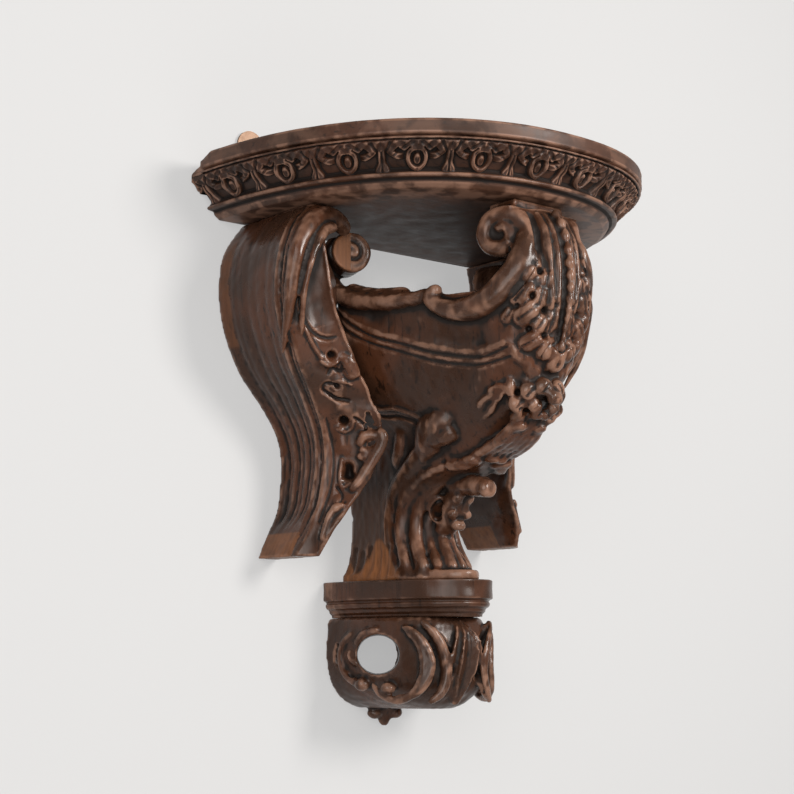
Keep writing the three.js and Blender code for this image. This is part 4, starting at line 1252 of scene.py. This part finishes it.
@dataclass
class Wing:
    """One fluted wing, curved like a lyre, sizes in millimetres."""

    side: int
    lift: float
    spread: float = 167.0
    depth: float = 98.0
    height: float = 277.0
    top: float = UNDER_SHELF
    lines: Line = ((0.17, 3.2, 0.07), (0.3, 1.2, 0.03), (0.47, 2.2, 0.05), (0.63, 1.2, 0.03),
                   (0.8, 2.0, 0.04), (0.92, 1.4, 0.03))
    rows: Line = (
        (0, 0.856, 34, 0.9, 0.98, 14), (0.09, 0.965, 49, 0.95, 1.05, 22), (0.19, 1.0, 70, 0.93, 1.08, 30),
        (0.3, 0.982, 68, 0.88, 1.06, 35), (0.38, 0.938, 60, 0.85, 1.03, 40),
        (0.46, 0.865, 51, 0.79, 0.98, 42), (0.55, 0.738, 36, 0.69, 0.96, 38),
        (0.64, 0.641, 26, 0.62, 0.955, 33), (0.71, 0.617, 24, 0.6, 0.905, 28),
        (0.79, 0.623, 24, 0.58, 0.85, 22), (0.86, 0.641, 23, 0.55, 0.78, 14),
        (0.92, 0.69, 22, 0.51, 0.73, 11), (1.0, 0.755, 20, 0.44, 0.62, 14),
    )

    def ring(self, share: float) -> np.ndarray:
        """Give the closed plan of the wing at a share of its height."""
        across, thick, flute, depth, turn = along(self.rows, share)[0]
        outer, end, deep = across * self.spread, flute * self.depth, depth * self.depth
        up = self.top - share * (self.height - self.lift)
        inner = outer - thick
        outs = np.linspace(0, end - 11, 48)
        place = outs / (end - 11)
        fade = ease(share, 0.0, 0.06) * ease(-share, -0.93, -0.87)
        late = 0.3 + 0.7 * ease(share, 0.25, 0.6)
        cut = sum(size * np.exp(-(((place - at) / wide) ** 2)) for at, size, wide in self.lines)
        face = np.stack([outer - fade * late * cut - 1.5 * fade * np.sin(math.pi * place), outs], axis=1)
        strap_turn = np.linspace(0, 1, 24)
        bands = 4.4 * np.abs(np.sin(2 * math.pi * strap_turn)) ** 0.7 * (0.35 + 0.65 * fade)
        strap = np.stack([outer - 1 + bands - 2.5 * strap_turn, end - 11 + 17 * strap_turn], axis=1)
        edge = outer - turn
        lobed = ease(share, 0.36, 0.44) * ease(-share, -0.84, -0.8)
        scallop = 3.0 * abs(math.cos(math.pi * share / 0.085)) * lobed
        dish = 3.0 + 4.0 * (ease(share, 0.04, 0.14) * ease(-share, -0.4, -0.34))
        reach = max(deep + scallop, end + 8)
        hollow = (outer - 0.5 * turn - dish, (end + reach + 4) / 2)
        leaf = smooth_line([(outer - 4, end + 6), hollow, (edge, reach - 2)], 14)
        lip = smooth_line([(edge - 1, reach), (edge - 4, reach - 1), (max(edge - 7, inner), reach - 7)], 6)
        back = smooth_line([(max(edge - 9, inner), reach - 11), (inner, deep * 0.62), (inner, deep * 0.3),
                            (inner, 0)], 22)
        plan = np.vstack([face, strap[1:], leaf[1:], lip, back])
        return np.column_stack([plan, np.full(len(plan), up)])

    def on_leaf(self, spots: Line, proud: float = 0.0) -> np.ndarray:
        """Find places on the leaf strip beside the strap.

        Args:
            spots: Shares of the height, and of the way from the strap at 0 to the edge at 1.
            proud: How far the places stand out from it.

        Returns:
            The places, one row each.
        """
        table = np.array(spots, float)
        across, _, flute, depth, turn = along(self.rows, table[:, 0]).T
        outer, end, deep = across * self.spread, flute * self.depth, depth * self.depth
        up = self.top - table[:, 0] * (self.height - self.lift)
        side = outer - 3 - (turn - 3) * table[:, 1]
        out = end + 4 + (deep - end - 4) * table[:, 1]
        return np.stack([side + 0.8 * proud, out + 0.6 * proud, up], axis=1)

    def scroll(self, clay: Clay) -> None:
        """Add the strap's two bands, which curl in under the shelf to the rear volute."""
        hook = [(156, 74, -168), (161, 86, -146), (163, 93, -126), (163, 97, -108), (161, 100, -90),
                (154, 100, -74), (143, 97, -61), (127, 92, -54), (111, 88, -56),
                (99, 84, -63)]
        clay.tube(hook, [1, 3.4, 5, 6, 7, 7.5, 8, 8, 7.5, 5], facing=(0.3, 0.95, 0), steps=44, sides=16,
                  square=0.85)
        second = [(147, 84, -160), (152, 95, -142), (154, 100, -126), (153, 104, -108), (150, 106, -92),
                  (144, 105, -78), (134, 101, -68), (120, 96, -63)]
        clay.tube(second, [1, 2.6, 3.6, 4.5, 5, 5, 5, 4], facing=(0.3, 0.95, 0), steps=36, sides=14)
        web = [(148, 70, -70), (138, 66, -56), (120, 62, -53), (104, 58, -57)]
        clay.tube(web, [14, 15, 15, 12], flat=0.5, facing=(0.3, 0, 1), steps=30, sides=16)

    def curls(self, clay: Clay) -> None:
        """Add the heart-shaped curl and the long lobes of the leaf's front edge."""
        for spots, radii in (
            ([(0.81, 0.75), (0.78, 0.87), (0.735, 0.97), (0.685, 1.08), (0.655, 1.08), (0.635, 0.98)],
             (2.5, 4, 5, 5, 5, 3)),
            ([(0.655, 0.98), (0.65, 0.84), (0.655, 0.7), (0.68, 0.62)], (3.5, 4, 4, 2.5)),
            ([(0.69, 0.66), (0.7, 0.82), (0.715, 0.76), (0.708, 0.64)], (2.4, 3, 3, 2)),
            ([(0.955, 0.83), (0.88, 0.5), (0.85, 0.8)], (2, 3, 2)),
            ([(0.435, 0.8), (0.45, 0.98), (0.49, 0.98)], (3, 4.5, 4)),
        ):
            clay.tube(self.on_leaf(spots, 1.0), radii, facing=(0.8, 0.6, 0), flat=0.8, steps=30, sides=12)

    def carve(self, carving: Carving) -> None:
        """Model the lobes of the leaf, drill its holes and cut the fine lines."""
        leaf = self.on_leaf
        carving.lobes([
            (leaf([(0.452, 0.45), (0.45, 0.6)]), 9.0, 2.6), (leaf([(0.46, 0.85), (0.48, 0.85)]), 8.0, 3.6),
            (leaf([(0.5, 0.62), (0.53, 0.5)]), 8.0, 2.4), (leaf([(0.57, 0.4), (0.59, 0.6)]), 9.0, 2.6),
            (leaf([(0.64, 0.25), (0.68, 0.3)]), 9.0, 2.2), (leaf([(0.84, 0.5), (0.86, 0.55)]), 6.0, 2.6),
        ], Profile.SOFT)
        stroke = carving.stroke
        stroke(leaf([(0.14, 0.62), (0.22, 0.6), (0.3, 0.6), (0.36, 0.6)]), 17.0, -5.0, taper=0.6)
        for spots, width, height in (
            ([(0.12, 0.2), (0.22, 0.17), (0.295, 0.17), (0.35, 0.2), (0.405, 0.3), (0.44, 0.4)], 2.6, 3.0),
            ([(0.45, 0.37), (0.462, 0.5), (0.455, 0.62), (0.445, 0.77)], 2.2, 2.2),
            ([(0.455, 0.8), (0.475, 0.7), (0.47, 0.55), (0.485, 0.43)], 2.0, -2.4),
            ([(0.51, 0.8), (0.5, 0.6), (0.505, 0.45)], 2.0, 1.8),
            ([(0.63, 0.2), (0.64, 0.35), (0.63, 0.48), (0.61, 0.55)], 1.8, 2.0),
            ([(0.72, 0.28), (0.77, 0.3), (0.8, 0.45), (0.79, 0.66)], 2.0, 2.2),
            ([(0.6, 0.05), (0.7, 0.08), (0.8, 0.12), (0.9, 0.2)], 2.0, -1.4),
            ([(0.34, 0.27), (0.37, 0.37), (0.385, 0.5), (0.39, 0.67), (0.385, 0.85)], 2.6, -2.6),
            ([(0.555, 0.6), (0.55, 0.4), (0.54, 0.3), (0.525, 0.2), (0.51, 0.3), (0.51, 0.47)], 2.4, -3.6),
            ([(0.6, 0.6), (0.63, 0.75), (0.66, 0.6)], 2.2, -3.0),
            ([(0.8, 0.3), (0.825, 0.55), (0.85, 0.6)], 2.2, -3.0),
            ([(0.95, 0.6), (0.9, 0.4), (0.86, 0.3)], 2.0, -2.0),
        ):
            stroke(leaf(spots), width, height, Profile.SOFT, taper=0.3, steps=30)
        for share, way, width, depth in (
            (0.435, 0.63, 5.2, 10), (0.61, 0.37, 5.4, 10), (0.762, 0.5, 6.6, 10), (0.742, 0.47, 5.6, 7),
            (0.515, 0.5, 3.4, 6),
        ):
            stroke(leaf([(share, way)]), width, -depth)
            stroke(leaf([(share + 0.02, way - 0.1)]), 2.4, 1.2)
        shares = np.linspace(0.14, 0.95, 14)
        for shift, width, depth in ((-0.14, 2.0, -1.8), (-0.55, 1.8, -1.2)):
            line = leaf(np.stack([shares, np.full(14, shift)], axis=1))
            stroke(line, width, depth, Profile.SOFT, taper=0.6, steps=50)

    def build(self, wood: bpy.types.Material) -> bpy.types.Object:
        """Make the wing.

        Args:
            wood: Its finish.

        Returns:
            The piece.
        """
        clay = Clay()
        shares = np.concatenate([np.linspace(0, 0.96, 64), [1.0]])
        clay.skin(np.array([self.ring(share) for share in shares]))
        self.scroll(clay)
        self.curls(clay)
        name, node = ("left_wing", "wing_left") if self.side < 0 else ("right_wing", "wing_right")
        if self.side < 0:
            bmesh.ops.scale(clay.mesh, vec=(-1, 1, 1), verts=list(clay.mesh.verts))
        piece = clay.fuse(f"fluted_{name}", 1.4)
        carving = Carving(piece)
        carving.relax(1, 0.3)
        self.carve(carving)
        carving.rise += 0.18 * ripple(carving.places, 11, 17) + 0.2 * ripple(carving.places, 30, 21)
        carving.lift()
        places = carving.places
        places[:, 1] = np.where(places[:, 1] < WALL_SNAP, 0.0, places[:, 1])
        places[:, 2] = np.minimum(places[:, 2], self.top)
        foot = self.top - 0.925 * (self.height - self.lift)
        bare = ease(-places[:, 2], -foot, -foot + 1.5) * (places[:, 1] < 44)
        ragged = 13 + 1.2 * np.sin(places[:, 2] / 7.0)
        strip = (np.abs(places[:, 0]) > 100) * (places[:, 1] < ragged)
        strip = strip * ease(-places[:, 2], 58, 72) * ease(places[:, 2], -154, -150)
        carving.attribute("bare", np.clip(0.5 * bare + 0.22 * strip, 0, 1))
        carving.finish(0.45, 2.2, 24)
        seat(piece, wood, node)
        return piece


@dataclass
class Foot:
    """The stepped plinth and the pierced scroll block under it, sizes in millimetres."""

    plinth_half: float = 58.0
    plinth_depth: float = 128.0
    plinth_top: float = -341.3
    block_half: float = 55.0
    block_depth: float = 112.0
    block_top: float = -371.1
    block_height: float = 74.0
    block_square: float = 3.1
    block_grain: float = 1.25
    bore: float = 35.0
    bore_share: float = 0.405
    bore_place: tuple[float, float] = (50.0, 62.0)
    turn: float = 0.69

    def ring(self, half: float, depth: float, roundness: float, up: float, count: int = 90) -> np.ndarray:
        """Give a half-round outline at one height."""
        across, out = half_round(np.linspace(0, math.pi, count), half, depth, roundness)
        return np.stack([across, out, np.full(count, up)], axis=1)

    def plinth(self) -> bpy.types.Object:
        """Sweep the plinth's stepped moulding round its outline."""
        profile = [(1.0, 0), (0.2, 0.5), (0, 1.4), (0.3, 6), (0.1, 11), (0, 14.4), (0.6, 15.4), (1.9, 16),
                   (3.0, 16.8), (3.2, 17.8), (2.4, 18.8), (2.6, 20.4), (3.4, 21.8), (5.2, 22.8), (6.2, 24),
                   (6.6, 25.4), (7.8, 26.6), (8.8, 27.4), (9, 28.4),
                   (9.4, 29.5)]
        rows = smooth_line(profile, 58)
        clay = Clay()
        clay.skin(np.array([
            self.ring(self.plinth_half - inset, self.plinth_depth - inset, 2.2, self.plinth_top - drop, 160)
            for inset, drop in rows
        ]))
        return clay.plain("stepped_plinth")

    def bore_up(self) -> float:
        """Give the height of the bore's middle."""
        return self.block_top - self.bore_share * self.block_height

    def on_block(self, sideways: float, rise: float, proud: float) -> np.ndarray:
        """Find the block's skin beside the bore's mouth, along the bore's direction."""
        centre = np.array(self.bore_place)
        across = np.array([-math.cos(self.turn), math.sin(self.turn)])
        out = np.array([math.sin(self.turn), math.cos(self.turn)])
        power = self.block_square
        inside, outside = -60.0, 60.0
        for _ in range(24):
            middle = (inside + outside) / 2
            x, d = centre + across * sideways + out * middle
            if (abs(x) / self.block_half) ** power + (max(d, 0) / self.block_depth) ** power < 1:
                inside = middle
            else:
                outside = middle
        x, d = centre + across * sideways + out * (inside + proud)
        return np.array([x, d, self.bore_up() + rise])

    def block(self) -> bpy.types.Object:
        """Make the scroll block with its two pierced rings, ridges, front leaf and hanging leaf."""
        clay = Clay()
        lines = (
            ([(22, 19), (31, 11), (36, -1), (36, -16), (29, -30), (15.6, -36.6), (2, -31.5), (-5, -23)],
             (2, 3.2, 3.6, 3.6, 3.6, 3.4, 3, 2)),
            ([(19, 22), (30, 17), (39, 5), (42.5, -9), (38, -22), (28, -32), (12, -34)],
             (2, 3.4, 4, 4, 4, 3.4, 2)),
            ([(34, 27), (45, 17), (52, 3), (55, -14), (51, -29), (40, -39)], (2.5, 4.2, 4.8, 4.8, 4.4, 2.5)),
            ([(-21, 18), (-29, 9), (-31, -4), (-27, -16), (-18, -23), (-10, -24)], (2, 2.8, 3, 3, 3.4, 2.6)),
            ([(-23, 3), (-22, -3), (-17, -8)], (2.4, 3, 2)), ([(0, 20), (-12, 17), (-19, 8)], (2, 2.6, 2)),
        )
        for places, radii in lines:
            line = [self.on_block(sideways, rise, 0.8) for sideways, rise in places]
            clay.tube(line, radii, facing=(0.7, 0.7, 0), steps=36)
        clay.egg(self.on_block(-13, -24, -1), (6.5, 6, 5.5))
        clay.egg(self.on_block(8, -27, -1), (6.5, 6, 5))
        clay.leaf([(2, 104, -371), (3, 114, -386), (3, 114, -404), (2, 108, -422), (1, 100, -442)],
                  (5, 12, 13, 9, 2),
                  (0.15, 1, 0), lobes=1, notch=0.1, cup=0.25, ruffle=0.5, thick=8)
        clay.mirror()
        shape = [(0, 0.94, 0.9), (0.05, 0.98, 0.94), (0.25, 1.0, 0.98), (0.45, 1.0, 0.985),
                 (0.65, 0.95, 0.975), (0.8, 0.84, 0.94), (0.9, 0.7, 0.88), (0.96, 0.56, 0.83),
                 (1.0, 0.42, 0.77)]
        rings = [
            self.ring(half * self.block_half, depth * self.block_depth, self.block_square,
                      self.block_top - share * self.block_height)
            for share, half, depth in smooth_line(shape, 44)
        ]
        clay.skin(np.array(rings))
        drop = [(0, 9, -438), (0, 9, -446), (0, 9, -452), (0, 9, -458), (0, 9, -461)]
        clay.tube(drop, [18, 15, 9, 5, 3], flat=0.45, facing=(0, 1, 0))
        for side in (-1, 1):
            clay.egg((side * 11, 10, -450), (7, 6, 5))
        piece = clay.fuse("pierced_scroll_block", self.block_grain)
        cutter = self.borer()
        cut = piece.modifiers.new("bore", "BOOLEAN")
        cut.operation = "DIFFERENCE"
        cut.solver = "EXACT"
        cut.use_self = True
        cut.object = cutter
        apply_tools(piece)
        bpy.data.objects.remove(cutter)
        melt(piece, self.block_grain)
        return piece

    def borer(self) -> bpy.types.Object:
        """Make the two crossing bars that bore the block's rings."""
        angle = np.linspace(0, 2 * math.pi, 48, endpoint=False)
        way = np.array([math.sin(self.turn), math.cos(self.turn), 0])
        level = np.array([-math.cos(self.turn), math.sin(self.turn), 0])
        centre = np.array([*self.bore_place, self.bore_up()])
        circle = self.bore / 2 * (np.cos(angle)[:, None] * level + 0.92 * np.sin(angle)[:, None] * UPRIGHT)
        bars = Clay()
        bars.skin(np.array([centre + way * step + circle for step in (-92.0, 46.0)]))
        bars.mirror()
        return bars.plain("ring_borer")

    def build(self, wood: bpy.types.Material) -> list[bpy.types.Object]:
        """Make the plinth and the block.

        Args:
            wood: Their finish.

        Returns:
            The two pieces.
        """
        plinth, block = self.plinth(), self.block()
        carving = Carving(plinth)
        swell = 0.2 * ripple(carving.places, 18, 31)[:, None]
        carving.places += swell * carving.normals() * (carving.places[:, 1:2] > 2)
        carving.finish(0.4, 1.4, 12)
        carving = Carving(block)
        carving.relax(2, 0.4)
        for spots, width, depth, taper in (
            (((43.6, 24), (53, 12.5), (58, -2.7), (59, -18), (54.6, -31.5)), 3.4, 8.0, 0.5),
            (((29, 23), (39, 12.5), (45, -1), (46, -16), (39, -31.5)), 2.2, 3.5, 0.4),
            (((-33.5, 7.5), (-34.7, -6), (-29, -15), (-21, -18)), 2.6, 6.0, 0.4),
        ):
            groove = [self.on_block(*spot, 0) for spot in spots]
            carving.stroke(groove, width, -depth, Profile.SOFT, taper=taper)
        carving.stroke([(0, 114, -374), (0, 120, -388), (0, 120, -406)], 4.2, -5.0)
        carving.rise += 0.2 * ripple(carving.places, 9, 41)
        carving.lift()
        places = carving.places
        places[:, 1] = places[:, 1].clip(0)
        places[:, 2] = np.minimum(places[:, 2], self.block_top)
        carving.finish(0.45, 2.2, 24)
        seat(plinth, wood, "plinth")
        seat(block, wood, "scroll_block")
        return [plinth, block]


@dataclass
class Plates:
    """The two brass hanging plates, which stay as the frame has them."""

    names: tuple[str, str] = ("plate_left", "plate_right")

    def dress(self, nodes: dict[str, bpy.types.Object], brass: bpy.types.Material) -> None:
        """Give the plates their finish.

        Args:
            nodes: The frame's nodes by name.
            brass: Their finish.
        """
        for name in self.names:
            nodes[name].data.materials.clear()
            nodes[name].data.materials.append(brass)


@dataclass
class Studio:
    """The wall, floor, lights and camera, in metres."""

    place: tuple[float, float, float] = (-0.935489, -1.139595, -0.372339)
    heading: float = math.radians(40.095)
    pitch: float = math.radians(8.62)
    roll: float = math.radians(0.334)
    lens: float = 77.08
    wall_gap: float = 0.0015
    wall_grey: float = 0.24
    wall_glow: float = 0.4
    floor_height: float = -1.4
    floor_grey: float = 0.5
    stage_reach: float = 9.0
    air_light: float = 0.42
    lamps: list[tuple[Vector, float, float, Colour]] = field(default_factory=lambda: [
        (Vector((0.5, -1.65, 0.3)), 0.6, 31.0, (1.0, 0.96, 0.92)),
        (Vector((-1.2, -1.4, -0.05)), 1.4, 22.0, (1.0, 0.97, 0.94)),
        (Vector((0.1, -1.5, -1.2)), 1.4, 5.0, (1.0, 0.97, 0.94)),
    ])

    def camera(self) -> None:
        """Set the camera where the photograph was taken from."""
        lens = bpy.data.cameras.new("camera")
        lens.sensor_width = 36.0
        lens.lens = self.lens
        lens.clip_start, lens.clip_end = 0.05, 50.0
        a, p, r = self.heading, self.pitch, self.roll
        right = Vector((math.cos(a), -math.sin(a), 0))
        up = Vector((-math.sin(a) * math.sin(p), -math.cos(a) * math.sin(p), math.cos(p)))
        ahead = Vector((math.sin(a) * math.cos(p), math.cos(a) * math.cos(p), math.sin(p)))
        x_axis = right * math.cos(r) - up * math.sin(r)
        y_axis = right * math.sin(r) + up * math.cos(r)
        camera = bpy.data.objects.new("camera", lens)
        turned = Matrix((x_axis, y_axis, -ahead)).transposed().to_4x4()
        camera.matrix_world = Matrix.Translation(Vector(self.place)) @ turned
        bpy.context.scene.collection.objects.link(camera)
        bpy.context.scene.camera = camera

    def pale(self, name: str, see_through_back: bool) -> bpy.types.Material:
        """Make the plain pale paint of the wall, which glows softly, or of the floor."""
        recipe = Recipe(name)
        grey = self.wall_grey if see_through_back else self.floor_grey
        recipe.set({
            "Base Color": (grey, grey, grey, 1),
            "Emission Color": (1.0, 1.0, 1.0, 1),
            "Emission Strength": self.wall_glow if see_through_back else 0.0,
            "Roughness": 0.9,
            "Specular IOR Level": 0.0,
        })
        if see_through_back:
            nodes, link = recipe.nodes, recipe.link
            clear = nodes.new("ShaderNodeBsdfTransparent")
            mix = nodes.new("ShaderNodeMixShader")
            link(nodes.new("ShaderNodeNewGeometry").outputs["Backfacing"], mix.inputs[0])
            link(recipe.shader.outputs[0], mix.inputs[1])
            link(clear.outputs[0], mix.inputs[2])
            link(mix.outputs[0], nodes["Material Output"].inputs[0])
        return recipe.material

    def surface(self, name: str, centre: Vector, facing: Vector, see_through_back: bool) -> None:
        """Add one plain surface of the stage."""
        mesh = bmesh.new()
        pose = Matrix.Translation(centre) @ facing.to_track_quat("Z", "Y").to_matrix().to_4x4()
        bmesh.ops.create_grid(mesh, x_segments=1, y_segments=1, size=self.stage_reach, matrix=pose)
        data = bpy.data.meshes.new(name)
        mesh.to_mesh(data)
        mesh.free()
        data.materials.append(self.pale(f"{name}_paint", see_through_back))
        plane = bpy.data.objects.new(name, data)
        bpy.context.scene.collection.objects.link(plane)

    def build(self) -> None:
        """Set the wall, the floor, the lights and the camera."""
        self.camera()
        self.surface("wall", Vector((0, self.wall_gap, 0)), Vector((0, -1, 0)), True)
        self.surface("floor", Vector((0, 0, self.floor_height)), Vector((0, 0, 1)), False)
        aim = Vector((0, -0.1, -0.15))
        for number, (place, size, power, colour) in enumerate(self.lamps):
            lamp = bpy.data.lights.new(f"lamp_{number}", "AREA")
            lamp.shape = "DISK"
            lamp.size = size
            lamp.energy = power
            lamp.color = colour
            holder = bpy.data.objects.new(f"lamp_{number}", lamp)
            holder.location = place
            holder.rotation_mode = "QUATERNION"
            holder.rotation_quaternion = (aim - place).to_track_quat("-Z", "Y")
            bpy.context.scene.collection.objects.link(holder)
        world = bpy.data.worlds.new("studio_air")
        world.use_nodes = True
        air = world.node_tree.nodes["Background"]
        air.inputs[0].default_value = (1.0, 0.98, 0.96, 1)
        air.inputs[1].default_value = self.air_light
        bpy.context.scene.world = world
        bpy.context.scene.view_settings.view_transform = "Standard"


def main() -> None:
    """Build the bracket round the frame and set the studio."""
    logging.basicConfig(level=logging.INFO, format="%(message)s")
    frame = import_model()
    Studio().build()
    carved = WoodFinish("waxed_carved_wood").make()
    boards = WoodFinish("waxed_shelf_wood", stain=(0.026, 0.011, 0.006), warm=(0.048, 0.0175, 0.0085),
                        grain=(9.0, 260.0, 260.0), gloss=0.48).make()
    pieces = [*Shelf().build(boards), Body().build(carved)]
    pieces += [Wing(-1, 0.0).build(carved), Wing(1, 15.0).build(carved), *Foot().build(carved)]
    Plates().dress(frame["nodes"], BrassFinish().make())
    for piece in pieces:
        log.info("%s: %d faces", piece.name, len(piece.data.polygons))


if __name__ == "__main__":
    main()
